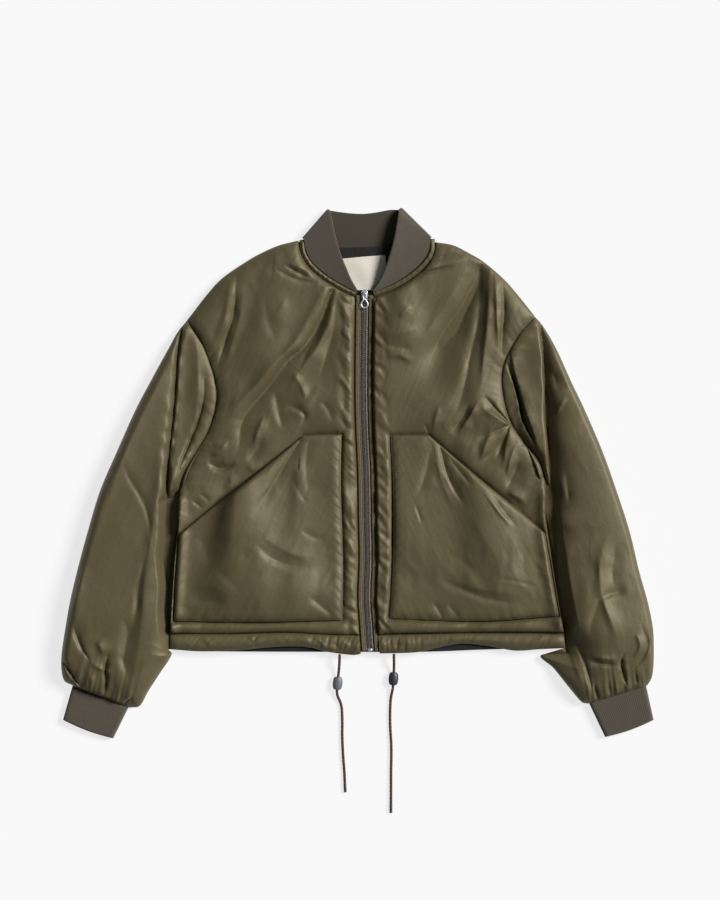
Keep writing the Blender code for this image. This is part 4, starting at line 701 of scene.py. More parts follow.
        Crease(((209, 151), (220, 123), (227, 95), (230, 77), (241, 52), (253, 32)), 2.4, -8.5, 0.3, 0.9),
        Crease(((272, 144), (276, 130), (281, 112)), 7, -2.6),
        Crease(((276, 80), (285, 97), (293, 105)), 4, 2.2, 0, 0.1),
        Crease(((289, 7), (292, -17), (295, -48)), 6, -2.0),
        Crease(((351, -78), (337, -122), (339, -169), (359, -225), (367, -258)), 10, 3.0),
        Crease(((362, -94), (355, -129), (356, -164)), 9, -1.8),
        Crease(((339, -174), (356, -167), (377, -164)), 7, -2.6, 0.5),
        Crease(((335, -178), (325, -209), (323, -234)), 8, -1.8, 0.5),
        Crease(((395, -213), (404, -239), (393, -262), (376, -281)), 3.5, -3.2, 0.1, 0.7),
        Crease(((386, -220), (393, -241), (383, -258)), 5, 2.2),
        Crease(((370, -253), (367, -266), (376, -301)), 3.5, -5.0, 0.3, 0.8),
        Crease(((318, -262), (339, -266), (363, -267)), 4, -3.6, 0, 0.6),
        Crease(((321, -255), (342, -258), (363, -259)), 4, 2.0, 0, 0.1),
        Crease(((296, -227), (311, -253), (323, -288), (330, -321)), 4.5, -3.6, 0.2, 0.5),
        Crease(((288, -234), (302, -263), (313, -297)), 5, 1.8),
        Crease(((330, -298), (337, -321)), 3, -3.6, 0.5, 0.7),
        Crease(((349, -294), (353, -315)), 4, -2.4, 0.5, 0.4),
        Crease(((387, -279), (390, -297)), 4, -2.4, 0.5, 0.4),
    ),
}


def relief(points: Array, name: str) -> Array:
    """Height of all creases of one panel at plan points."""
    return CREASE_GAIN * sum(crease.height(points) for crease in CREASES[name])


@dataclass(frozen=True)
class Puckers:
    """Gathers at a seam, where thread draws padded cloth in; sizes in millimetres."""

    pitch: float
    depth: float
    reach: float
    skew: float = 0.0       # how far a gather runs along the seam for each step away from it
    seed: int = 1
    crisp: float = 0.0      # 0 for soft waves, 1 for puffs between thin creases

    def height(self, distance: Array, along: Array) -> Array:
        """Uneven waves along the seam that lean with the distance from it and die away from it.

        Args:
            distance: Distance from the seam.
            along: Length along the seam.

        Returns:
            Height that the gathers add.
        """
        lean = along + self.skew * distance
        wave = wander(lean, self.pitch * MM, self.seed)
        puffs = 2.0 * np.abs(wave) ** 0.6 - 1.2
        wave = wave * (1.0 - self.crisp) + puffs * self.crisp
        wave = wave + 0.4 * wander(lean, 0.45 * self.pitch * MM, self.seed + 7)
        strong = blend_step(wander(along, 4.3 * self.pitch * MM, self.seed + 11), -0.5, 0.5)
        wave = wave * (1.0 - self.crisp + self.crisp * (0.15 + 1.1 * strong))
        return self.depth * MM * wave * np.exp(-distance / (self.reach * MM))


class Form:
    """Points and faces of one piece, gathered and then made a mesh whose faces point out."""

    def __init__(self, name: str) -> None:
        """Start an empty piece.

        Args:
            name: Name of the piece.
        """
        self.name = name
        self.points: list[Array] = []
        self.faces: list[list[int]] = []
        self.count = 0

    def add_points(self, points: Array) -> Array:
        """Add an array of points.

        Args:
            points: Points in any layout.

        Returns:
            Their numbers in the same layout.
        """
        index = np.arange(points[..., 0].size).reshape(points.shape[:-1]) + self.count
        self.points.append(points.reshape(-1, 3))
        self.count += index.size
        return index

    def add_quads(self, index: Array, wrap: bool = False) -> None:
        """Add the cells of a grid as faces.

        Args:
            index: Grid of point numbers.
            wrap: Whether its last column joins its first.
        """
        if wrap:
            index = np.concatenate([index, index[:, :1]], axis=1)
        corners = [index[:-1, :-1], index[:-1, 1:], index[1:, 1:], index[1:, :-1]]
        self.faces += np.stack(corners, axis=-1).reshape(-1, 4).tolist()

    def add_polygon(self, index: Array) -> None:
        """Add one flat face through point numbers in order."""
        self.faces.append(index.tolist())

    def add_tube(self, rings: Array) -> None:
        """Add a tube with flat ends.

        Args:
            rings: Rings of points.
        """
        index = self.add_points(rings)
        self.add_quads(index, wrap=True)
        self.add_polygon(index[0])
        self.add_polygon(index[-1])

    def add_ring(self, rings: Array) -> None:
        """Add a tube that closes on itself, through rings of points that come round to the first."""
        index = self.add_points(rings)
        self.add_quads(np.vstack([index, index[:1]]), wrap=True)

    def add_hollow(self, outer: Array, inner: Array) -> None:
        """Add a tube with a hollow right through it: both surfaces, joined at their ends.

        Args:
            outer: Rings of its outer surface.
            inner: Rings of the hollow.
        """
        index, hollow = self.add_points(outer), self.add_points(inner)
        for grid in (index, hollow, np.stack([index[0], hollow[0]]), np.stack([index[-1], hollow[-1]])):
            self.add_quads(grid, wrap=True)

    def add_copies(self, points: Array, faces: list[list[int]], places: Array) -> None:
        """Add a small shape again at each place.

        Args:
            points: Points of the shape about its own middle, or one set of points for each place.
            faces: Its faces as point numbers.
            places: Where its middle comes.
        """
        placed = points + places[:, None]
        index = self.add_points(placed)
        for face in faces:
            self.faces += index[:, face].tolist()

    def build(self, finish: Material, sharp: float = 50.0) -> Object:
        """Make the mesh and its object, smooth but for edges above an angle.

        Args:
            finish: Material of the piece.
            sharp: Angle in degrees above which an edge stays sharp.

        Returns:
            The object, at the origin.
        """
        mesh = bpy.data.meshes.new(self.name)
        mesh.from_pydata(np.vstack(self.points).tolist(), [], self.faces)
        shape = bmesh.new()
        shape.from_mesh(mesh)
        bmesh.ops.recalc_face_normals(shape, faces=shape.faces)
        shape.to_mesh(mesh)
        shape.free()
        mesh.shade_smooth()
        mesh.set_sharp_from_angle(angle=math.radians(sharp))
        mesh.materials.append(finish)
        item = bpy.data.objects.new(self.name, mesh)
        bpy.context.scene.collection.objects.link(item)
        LOG.info("%s: %d faces", self.name, len(self.faces))
        return item


def rim_of(index: Array) -> Array:
    """Numbers round the border of a grid of point numbers."""
    return np.concatenate([index[0, :-1], index[:-1, -1], index[-1, :0:-1], index[:0:-1, 0]])


def laid_shell(name: str, plan: Array, top: float | Array, bottom: float | Array,
               finish: Material) -> Object:
    """Closed piece over a plan grid.

    Args:
        name: Name of the piece.
        plan: Grid of plan points.
        top: One height for a flat upper side, or heights on the grid.
        bottom: One height for a flat underside, or heights on the grid.
        finish: Material of the piece.

    Returns:
        The object.
    """
    form = Form(name)
    upper = form.add_points(np.dstack([plan, np.broadcast_to(top, plan.shape[:2])]))
    form.add_quads(upper)
    if np.isscalar(bottom):
        edge = rim_of(np.arange(upper.size).reshape(upper.shape))
        lower_points = np.column_stack([plan.reshape(-1, 2)[edge], np.full(len(edge), bottom)])
        lower_rim = form.add_points(lower_points)
        form.add_polygon(lower_rim)
    else:
        lower = form.add_points(np.dstack([plan, bottom]))
        form.add_quads(lower)
        lower_rim = rim_of(lower)
    form.add_quads(np.stack([rim_of(upper), lower_rim]), wrap=True)
    return form.build(finish)


def dress(piece: Object, slot: str, *nodes: str, body: str = BODY) -> Object:
    """Let a piece ride on its body and stand for the solids that it replaces.

    Args:
        piece: The piece.
        slot: Finish slot; not used.
        nodes: Solids that it replaces.
        body: Body that it rides on.

    Returns:
        The same piece.
    """
    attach(piece, body)
    if nodes:
        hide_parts(*nodes)
    return piece


def pad(piece: Object, node: str) -> None:
    """Let a piece of shell nylon stand for its solid."""
    dress(piece, "olive_nylon", node)


# Finishes

def linear(colour: str) -> tuple[float, float, float, float]:
    """Linear colour of an sRGB hex value: each channel by the sRGB curve, with an alpha of 1."""
    channels = [int(colour[k:k + 2], 16) / 255.0 for k in (1, 3, 5)]
    return (*(c / 12.92 if c <= 0.04045 else ((c + 0.055) / 1.055) ** 2.4 for c in channels), 1.0)


def add_node(tree: NodeTree, kind: str, settings: dict | None = None, links: dict | None = None) -> Node:
    """Add a node with its settings and links.

    Args:
        tree: Node tree to add it to.
        kind: Blender's name of the node type.
        settings: Values by property or input name.
        links: For an input, the node and output that feed it.

    Returns:
        The node.
    """
    node = tree.nodes.new(kind)
    for name, value in (settings or {}).items():
        if isinstance(name, str) and hasattr(node, name):
            setattr(node, name, value)
        else:
            node.inputs[name].default_value = value
    for name, (source, output) in (links or {}).items():
        tree.links.new(source.outputs[output], node.inputs[name])
    return node


def per_metre(size_mm: float) -> float:
    """Noise scale whose cells have that size."""
    return 1000.0 / size_mm


def bands_per_metre(pitch_mm: float) -> float:
    """Wave scale whose bands lie that far apart: a wave of scale 1 repeats each 0.314 m."""
    return 314.16 / pitch_mm


def new_material(name: str, values: dict[str, Any]) -> tuple[Material, NodeTree, Node]:
    """Empty node material with its surface shader and output.

    Args:
        name: Name of the material.
        values: Even values by the shader's input.

    Returns:
        The material, its tree and its shader node.
    """
    material = bpy.data.materials.new(name)
    material.use_nodes = True
    tree = material.node_tree
    tree.nodes.clear()
    shader = add_node(tree, "ShaderNodeBsdfPrincipled", values)
    add_node(tree, "ShaderNodeOutputMaterial", links={"Surface": (shader, "BSDF")})
    return material, tree, shader


def mottle(tree: NodeTree, shader: Node, size_mm: float, tones: tuple[str, str],
           gloss: tuple[float, float]) -> tuple[Node, Node, Node]:
    """Mix two tones and two roughnesses by one noise, in soft patches.

    Args:
        tree: Node tree of the material.
        shader: Surface shader that takes both.
        size_mm: Size of the patches.
        tones: Colours that are mixed.
        gloss: Roughness where the noise is 0 and where it is 1.

    Returns:
        The coordinates, the noise and the mixed colour.
    """
    place = add_node(tree, "ShaderNodeTexCoord")
    patches = add_node(tree, "ShaderNodeTexNoise", {"Scale": per_metre(size_mm), "Detail": 4.0},
                       {"Vector": (place, "Object")})
    mix = add_node(tree, "ShaderNodeMix", {"data_type": "RGBA", 6: linear(tones[0]), 7: linear(tones[1])},
                   {"Factor": (patches, "Fac")})
    spread = add_node(tree, "ShaderNodeMapRange", {"To Min": gloss[0], "To Max": gloss[1]},
                      {"Value": (patches, "Fac")})
    tree.links.new(mix.outputs[2], shader.inputs["Base Color"])
    tree.links.new(spread.outputs["Result"], shader.inputs["Roughness"])
    return place, patches, mix


@dataclass(frozen=True)
class Cloth:
    """A woven or knitted finish: two close tones in soft patches, a thread pattern and fine crumple."""

    name: str
    colour: str
    shade: str
    roughness: float
    patch_mm: float         # size of the patches of tone
    thread_mm: float        # thread spacing as drawn
    thread_depth_mm: float
    crumple_mm: float
    crumple_depth_mm: float
    ior: float = 1.53
    specular: float = 0.5
    specular_tint: str = "#ffffff"
    sheen: float = 0.0
    sheen_roughness: float = 0.5
    thread_turn: float = 0.0
    # Painted shade: a darker tone for the side of a band that faces the neck, standing in for shade
    painted_shade_colour: str = ""      # tone where the mesh has an attribute "painted_shade_side" of 1

    def make(self) -> Material:
        """Build the material: noise mixes the tones and the gloss, crossed bands give the threads.

        Returns:
            The material.
        """
        material, tree, shader = new_material(self.name, {
            "IOR": self.ior, "Specular IOR Level": self.specular, "Specular Tint": linear(self.specular_tint),
            "Sheen Weight": self.sheen, "Sheen Roughness": self.sheen_roughness})
        place, _, mix = mottle(tree, shader, self.patch_mm, (self.shade, self.colour),
                               (self.roughness - 0.05, self.roughness + 0.06))
        # Painted shade: where the inner-side attribute is 1, a darker tone is mixed in that stands in for
        # shade
        if self.painted_shade_colour:
            inner = add_node(tree, "ShaderNodeAttribute", {"attribute_name": "painted_shade_side"})
            mix = add_node(tree, "ShaderNodeMix", {"data_type": "RGBA", 7: linear(self.painted_shade_colour)},
                           {"Factor": (inner, "Fac"), 6: (mix, 2)})
            tree.links.new(mix.outputs[2], shader.inputs["Base Color"])
        laid = add_node(tree, "ShaderNodeMapping", {"Rotation": (0.0, 0.0, math.radians(self.thread_turn))},
                        {"Vector": (place, "Object")})
        warp, weft = (add_node(tree, "ShaderNodeTexWave",
                               {"bands_direction": direction, "Scale": bands_per_metre(self.thread_mm),
                                "Distortion": 0.6, "Detail": 1.0}, {"Vector": (laid, "Vector")})
                      for direction in ("X", "Y"))
        weave = add_node(tree, "ShaderNodeMath", {"operation": "MAXIMUM"},
                         {0: (warp, "Fac"), 1: (weft, "Fac")})
        hollows = add_node(tree, "ShaderNodeTexNoise",
                           {"Scale": per_metre(self.crumple_mm), "Detail": 5.0, "Roughness": 0.55,
                            "Distortion": 0.6}, {"Vector": (place, "Object")})
        first = add_node(tree, "ShaderNodeBump", {"Distance": self.crumple_depth_mm * MM},
                         {"Height": (hollows, "Fac")})
        second = add_node(tree, "ShaderNodeBump", {"Distance": self.thread_depth_mm * MM},
                          {"Height": (weave, "Value"), "Normal": (first, "Normal")})
        tree.links.new(second.outputs["Normal"], shader.inputs["Normal"])
        return material


@dataclass(frozen=True)
class Hard:
    """Metal or plastic: a speckle of roughness, worn patches of another tone and fine tooling marks."""

    name: str
    colour: str
    worn: str
    roughness: float
    metallic: float
    speck_mm: float
    mark_depth_mm: float

    def make(self) -> Material:
        """Build the material: one noise mixes the tones, the gloss and a shallow bump.

        Returns:
            The material.
        """
        material, tree, shader = new_material(self.name, {"Metallic": self.metallic})
        _, speck, _ = mottle(tree, shader, self.speck_mm, (self.worn, self.colour),
                             (self.roughness - 0.08, self.roughness + 0.10))
        bump = add_node(tree, "ShaderNodeBump", {"Distance": self.mark_depth_mm * MM},
                        {"Height": (speck, "Fac")})
        tree.links.new(bump.outputs["Normal"], shader.inputs["Normal"])
        return material


class Finishes:
    """Every finish of the jacket, made once.

    Real threads lie 0.1 to 0.5 mm apart, too fine to show, so they are drawn 0.5 to 1.4 mm apart.
    """

    def __init__(self) -> None:
        """Make the materials."""
        # Filament nylon, tightly woven and calendered: a satin face with broad soft highlights
        self.nylon = Cloth("satin_filament_nylon", "#564e37", "#4d4631", 0.54, 60.0, 1.1, 0.010,
                           13.0, 0.42, specular=0.70, specular_tint="#ded4b8").make()
        # Rib knitted from dull wool-like acrylic: no gloss, a faint nap; the side that faces the neck gets a
        # darker painted shade
        self.rib = Cloth("acrylic_rib_knit", "#4f483c", "#463f34", 0.92, 14.0, 1.2, 0.05,
                         5.0, 0.10, ior=1.5, specular=0.25, sheen=0.25, sheen_roughness=0.6,
                         painted_shade_colour="#3b3629").make()
        # Polyester taffeta lining, dyed black: smooth, a little glossy, with a slight weave
        self.lining = Cloth("polyester_taffeta_lining", "#0d0c10", "#08080b", 0.66, 20.0, 1.4, 0.06,
                            6.0, 0.22, ior=1.57, specular=0.35, thread_turn=45.0).make()
        # Unbleached cotton satin ribbon, cut and pressed: warm white, matt
        self.label = Cloth("cotton_label_ribbon", "#ded8cc", "#d3cbbd", 0.80, 12.0, 0.9, 0.03,
                           14.0, 0.22, ior=1.5, specular=0.3, sheen=0.15).make()
        # Woven polyester zip tape: dull, brownish, with a clear warp
        self.tape = Cloth("polyester_zip_tape", "#948270", "#857465", 0.85, 8.0, 0.9, 0.10,
                          4.0, 0.05, specular=0.3).make()
        # Spun polyester sewing thread, a shade lighter than the shell
        self.thread = Cloth("polyester_sewing_thread", "#6a6248", "#5a533c", 0.60, 4.0, 0.5, 0.03,
                            2.0, 0.03, specular=0.4, sheen=0.2).make()
        # Braided polyester cord: matt brown, flecked where strands turn over
        self.cord = Cloth("braided_polyester_cord", "#4c3d33", "#3b2f27", 0.85, 3.0, 0.8, 0.06,
                          1.5, 0.10, specular=0.3, sheen=0.3).make()
        # Zinc diecasting, nickel plated and tumbled: bright, slightly blue, soft reflections
        self.nickel = Hard("nickel_plated_zinc", "#e9e9f2", "#cfcfda", 0.42, 1.0, 2.0, 0.02).make()
        # Stamped aluminium teeth, oxidised dark: grey with lighter worn faces
        self.teeth = Hard("oxidised_aluminium_teeth", "#989794", "#6c6b69", 0.46, 1.0, 3.0, 0.02).make()
        # Acetal cord stop, injection moulded: fine spark-eroded texture, dull gloss
        self.grey_plastic = Hard("grey_acetal", "#6b7076", "#5c6066", 0.42, 0.0, 0.8, 0.02).make()
        self.dark_plastic = Hard("dark_acetal", "#34363d", "#2a2c32", 0.42, 0.0, 0.8, 0.02).make()


# Setting

@dataclass
class Studio:
    """Floor, light and camera: a lit pale sweep, one broad low key from +X and a soft sky all round."""

    middle: tuple[float, float] = (0.00336, 0.0322)     # what the camera looks at
    view_height: float = 1.26
    distance: float = 5.0
    sensor: float = 36.0
    floor_size: float = 12.0
    floor_drop: float = 0.0002
    sky: float = 0.11
    key_height: float = 38.0    # degrees above the floor
    key_turn: float = 24.0      # degrees from +X towards +Y
    key_spread: float = 22.0    # degrees that it covers, as a large soft box would
    key_power: float = 4.55
    floor_colour: str = "#767676"
    floor_glow: float = 0.762   # share of its brightness that the lit sweep gives by itself

    def build(self) -> None:
        """Place the camera, then the floor and the lights."""
        bpy.context.scene.view_settings.view_transform = "Standard"
        self.add_camera()
        self.add_floor()
        self.add_lights()

    def add_camera(self) -> None:
        """Camera straight down: the lens length is sensor times distance over the height in view."""
        data = bpy.data.cameras.new("camera")
        data.sensor_width = self.sensor
        data.lens = self.sensor * self.distance / self.view_height
        data.clip_end = 50.0
        camera = bpy.data.objects.new("camera", data)
        camera.location = (*self.middle, self.distance)
        bpy.context.scene.collection.objects.link(camera)
        bpy.context.scene.camera = camera

    def add_floor(self) -> None:
        """A large square just under the jacket."""
        half = 0.5 * self.floor_size
        corners = [(-half, -half), (half, -half), (half, half), (-half, half)]
        mesh = bpy.data.meshes.new("floor")
        mesh.from_pydata([(x, y, -self.floor_drop) for x, y in corners], [], [(0, 1, 2, 3)])
        material, _, _ = new_material("matt_paper_sweep", {
            "Base Color": linear(self.floor_colour), "Roughness": 0.9, "Specular IOR Level": 0.1,
            "Emission Color": (1.0, 1.0, 1.0, 1.0), "Emission Strength": self.floor_glow})
        mesh.materials.append(material)
        floor = bpy.data.objects.new("floor", mesh)
        bpy.context.scene.collection.objects.link(floor)

    def add_lights(self) -> None:
        """A far, wide key whose light falls evenly over the whole jacket, and an even white world."""
        data = bpy.data.lights.new("key", "SUN")
        data.angle = math.radians(self.key_spread)
        data.energy = self.key_power
        key = bpy.data.objects.new("key", data)
        height, turn = math.radians(self.key_height), math.radians(self.key_turn)
        level = math.cos(height)
        place = Vector((level * math.cos(turn), level * math.sin(turn), math.sin(height)))
        key.location = 4.0 * place
        key.rotation_euler = (-place).to_track_quat("-Z", "Y").to_euler()
        bpy.context.scene.collection.objects.link(key)
        world = bpy.data.worlds.new("sky")
        world.use_nodes = True
        ground = world.node_tree.nodes["Background"]
        ground.inputs["Color"].default_value = (1.0, 1.0, 1.0, 1.0)
        ground.inputs["Strength"].default_value = self.sky
        bpy.context.scene.world = world


@dataclass
class Part:
    """A sub-assembly of the jacket, with the finishes that it is made in."""

    finishes: Finishes


# Drawcords

@dataclass
class Drawcord(Part):
    """Free end of the hem's cord: a braided tube, its cord stop and its crimped tip."""

    side: Side
    radius: float = 0.0020
    around: int = 24
    rings: int = 420
    strands: int = 4            # ridges that run each way round
    braid_pitch: float = 0.0105
    braid_depth: float = 0.00022
    stop_length: float = 0.0180
    stop_width: float = 0.0138
    stop_height: float = 0.0104
    stop_bore: float = 0.0026
    stop_lip: float = 0.0006    # width of the flat round the bore
    tip_length: float = 0.0125
    tip_radius: float = 0.0022
    tip_grooves: tuple[float, ...] = (0.14, 0.24, 0.34)     # places of the crimps, as shares of the length

    @property
    def line(self) -> Array:
        """Centre line, through the route's own points."""
        return smooth_line(CORD_ROUTE[self.side.value], 36)

    @property
    def length(self) -> float:
        """Length of the centre line."""
        return float(lengths(self.line)[-1])

    @staticmethod
    def across(direction: Array) -> tuple[Array, Array]:
        """Two unit vectors across each direction: one level, one upward."""
        level = unit(np.cross(direction, (0.0, 0.0, 1.0)))
        return level, np.cross(level, direction)

    def build(self) -> None:
        """Make the cord with its stop and tip."""
        name = self.side.value
        stop = dress(self.build_stop(), "toggle_plastic", "toggle_" + name)
        tip = dress(self.build_tip(), "cord_tip", "aglet_" + name)
        cord = dress(self.build_braid(), "braided_cord", "drawcord_" + name)

    def build_braid(self) -> Object:
        """Tube round the centre line whose radius dips between two sets of strands that cross.

        The radius is the cord's, less a depth times one minus the larger of two waves: both run
        round the tube, and one climbs along it while the other falls.

        Returns:
            The cord.
        """
        line = smooth_line(self.line, self.rings)
        level, up = self.across(unit(np.gradient(line, axis=0)))
        angle = turns(self.around)[None, :]
        climb = 4.0 * math.pi * np.linspace(0.0, self.length / self.braid_pitch, self.rings)[:, None]
        wave = np.maximum(np.cos(self.strands * angle + climb), np.cos(self.strands * angle - climb))
        radius = self.radius - self.braid_depth * (1.0 - wave) * 0.5
        rings = line[:, None] + radius[..., None] * (np.cos(angle)[..., None] * level[:, None]
                                                     + np.sin(angle)[..., None] * up[:, None])
        form = Form("drawcord_braid_" + self.side.value)
        form.add_tube(rings)
        return form.build(self.finishes.cord, 80.0)

    def build_stop(self) -> Object:
        """Oval barrel with a bore: ellipses that grow from its ends as a power of the cosine.

        Returns:
            The cord stop.
        """
        line = self.line
        nearest = int(np.argmin(np.linalg.norm(line[:, :2] - STOP_PLACE[self.side.value], axis=1)))
        direction = unit((line[nearest + 2] - line[nearest - 2]) * (1.0, 1.0, 0.0))
        centre = np.array([*line[nearest, :2], 0.5 * self.stop_height + 0.0001])
        swing = np.linspace(-0.5 * math.pi, 0.5 * math.pi, 33)
        share = np.cos(swing) ** 0.85
        end = self.stop_bore + self.stop_lip
        outer = self.ovals(centre, direction, squared_off(np.sin(swing), 0.9),
                           end + (0.5 * self.stop_width - end) * share,
                           end + (0.5 * self.stop_height - end) * share)
        steps = np.array([1.0, 0.97, 0.9, 0.0, -0.9, -0.97, -1.0])
        flare = self.stop_bore + 0.0004 * np.abs(steps) ** 12
        form = Form("cord_stop_" + self.side.value)
        form.add_ring(np.concatenate([outer, self.ovals(centre, direction, steps, flare, flare)]))
        return form.build(self.side.pick(self.finishes.grey_plastic, self.finishes.dark_plastic))

    def ovals(self, centre: Array, direction: Array, steps: Array, wide: Array, high: Array) -> Array:
        """Ellipses across the cord at steps from -1 to 1 of the stop's half length.

        Args:
            centre: Middle of the stop.
            direction: Unit vector along the cord.
            steps: Places of the ellipses.
            wide: Level radius of each.
            high: Upward radius of each.

        Returns:
            Rings of points.
        """
        level, up = self.across(direction)
        angle = turns(64)
        middle = centre + np.outer(steps * 0.5 * self.stop_length, direction)
        return (middle[:, None] + (wide[:, None] * np.cos(angle))[..., None] * level
                + (high[:, None] * np.sin(angle))[..., None] * up)

    def build_tip(self) -> Object:
        """Crimped tube past the cord's end: a cylinder with shallow grooves, drawn in at its end.

        Returns:
            The tip.
        """
        line = self.line
        direction = unit(line[-1] - line[-2])
        level, up = self.across(direction)
        step = np.linspace(0.0, 1.0, 60)
        groove = 0.06 * bell(step[:, None], np.array(self.tip_grooves), 0.025).sum(axis=1)
        share = np.minimum(0.98 - 0.08 * step, 0.62 + 0.38 * round_over(1.0 - step, 0.10)) - groove
        share *= 0.86 + 0.14 * round_over(step, 0.04)
        angle = turns(28)
        middle = (line[-1] + np.array([0.0, 0.0, self.tip_radius - self.radius])
                  + np.outer(LAYER_GAP + step * self.tip_length, direction))
        circle = np.cos(angle)[:, None] * level + np.sin(angle)[:, None] * up
        form = Form("cord_tip_" + self.side.value)
        form.add_tube(middle[:, None] + self.tip_radius * share[:, None, None] * circle)
        return form.build(self.finishes.dark_plastic)


# Body panels

@dataclass
class Cut:
    """Seam lines of one side of the body, read as finely as the panels need them."""

    side: Side
    armhole_rows: int = 180
    side_rows: int = 130
    binding_width: float = 0.0078

    @property
    def name(self) -> str:
        """Side name that the tables use."""
        return self.side.value

    def armhole(self, count: int) -> Array:
        """Armhole seam from the shoulder to the underarm."""
        return smooth_line(ARMHOLE[self.name], count)

    def outer(self) -> Array:
        """Armhole and side seam of the body, half a seam gap inside the seam."""
        parts = self.armhole(self.armhole_rows + 1), smooth_line(SIDE[self.name], self.side_rows + 1)[1:]
        return moved_sideways(np.vstack(parts), -0.5 * self.side.sign * SEAM_GAP)

    def neck(self, count: int) -> Array:
        """Seam between neck binding and front, from the shoulder to the centre front."""
        inner = smooth_line(NECKLINE[self.name] + [NECK_END[self.name]], count)[::-1]
        return moved_sideways(inner, self.side.sign * (self.binding_width + SEAM_GAP))

    def casing_seam(self, count: int) -> Array:
        """Seam between the front and its casing, from the side to the placket."""
        return smooth_line(CASING_SEAM[self.name], count)


def zip_centre(count: int, top: float, bottom: float) -> Array:
    """Centre line of the zip, read at evenly spaced y.

    Args:
        count: Number of points.
        top: Y of the first.
        bottom: Y of the last.

    Returns:
        Plan points.
    """
    dense = smooth_line(ZIP_LINE, 400)
    y = np.linspace(top, bottom, count)
    return np.column_stack([np.interp(-y, -dense[:, 1], dense[:, 0]), y])


@dataclass
class Pocket(Part):
    """Patch pocket: sewn down at three edges, open along its slant, with a full middle."""

    cut: Cut
    columns: int = 150
    slant_rows: int = 110
    side_rows: int = 60
    rim: float = 0.0010         # thickness at a sewn edge
    lip: float = 0.0024         # thickness at the open edge, before its roll
    roll: float = 0.0036        # height of the roll along the open edge
    full: float = 0.0078
    lines: dict[str, Array] = field(init=False)
    plan: Array = field(init=False)

    def __post_init__(self) -> None:
        """Lay out the plan grid and the four edges."""
        name = self.cut.name
        slant = smooth_line(POCKET_SLANT[name], self.slant_rows + 1)
        below = smooth_line(POCKET_SIDE[name], self.side_rows + 1)
        outer = np.vstack([slant, below[1:]])
        inner = smooth_line(POCKET_INNER[name], len(outer))
        top = smooth_line(POCKET_TOP[name], self.columns + 1)
        bottom = smooth_line(POCKET_BOTTOM[name], self.columns + 1)
        self.plan = patch(top, inner, bottom, outer)
        edges = {"top": (POCKET_TOP, 12), "inner": (POCKET_INNER, 40), "bottom": (POCKET_BOTTOM, 40),
                 "side": (POCKET_SIDE, 20), "slant": (POCKET_SLANT, 40)}
        self.lines = {key: smooth_line(table[name], count) for key, (table, count) in edges.items()}

    def outline(self) -> Array:
        """Closed outline through the edge lines."""
        back = [self.lines[key][::-1][1:] for key in ("bottom", "side", "slant")]
        return np.vstack([self.lines["top"], self.lines["inner"][1:], *back])

    def height(self, points: Array) -> Array:
        """Height of the pocket's upper side at plan points.

        The thickness rises in quarter rounds from the sewn edges, and from a rolled lip at the
        open ones; creases, gathers and crumple are added where it is full.

        Args:
            points: Plan points.

        Returns:
            Height at each of them.
        """
        inner, along_inner, _ = beside(points, self.lines["inner"])
        bottom, along_bottom, _ = beside(points, self.lines["bottom"])
        side, along_side, _ = beside(points, self.lines["side"])
        open_edge = np.minimum(beside(points, self.lines["slant"])[0], beside(points, self.lines["top"])[0])
        sewn = round_over(inner, 0.013) * round_over(bottom, 0.015) * (0.45 + 0.55 * round_over(side, 0.006))
        roll = SIDE_ROLL * bell(side, 0.004, 0.008)
        thick = (self.lip + roll + self.roll * round_over(open_edge, 0.0035)
                 + (self.full - self.lip - self.roll) * round_over(open_edge, 0.030))
        folds = relief(points, "pocket_" + self.cut.name)
        seed = self.cut.side.pick(11, 12)
        folds += 0.75 * crinkle(points, 10 * seed, 66.0 * -self.cut.side.sign)
        gathers = Puckers(8.0, 0.75, 7.0, 0.9, seed).height(inner, along_inner)
        gathers += Puckers(10.0, 0.65, 8.0, -0.6, seed + 1).height(bottom, along_bottom)
        gathers += Puckers(9.0, 0.5, 8.0, 0.5, seed + 2).height(side, along_side)
        stitch = -0.0005 * bell(np.minimum(inner, bottom), STITCH_INSET, 0.0009)
        fade = round_over(inner, 0.006) * round_over(bottom, 0.006) * round_over(side, 0.004)
        fade *= 0.35 + 0.65 * round_over(open_edge, 0.008)
        return POCKET_BASE + self.rim + (thick - self.rim) * sewn + (folds + gathers) * fade + stitch

    def build(self) -> None:
        """Make the pocket in place of its solid."""
        top = np.maximum(self.height(self.plan), POCKET_BASE + 0.0004)
        piece = laid_shell("pocket_panel_" + self.cut.name, self.plan, top, POCKET_BASE, self.finishes.nylon)
        pad(piece, "pocket_" + self.cut.name)


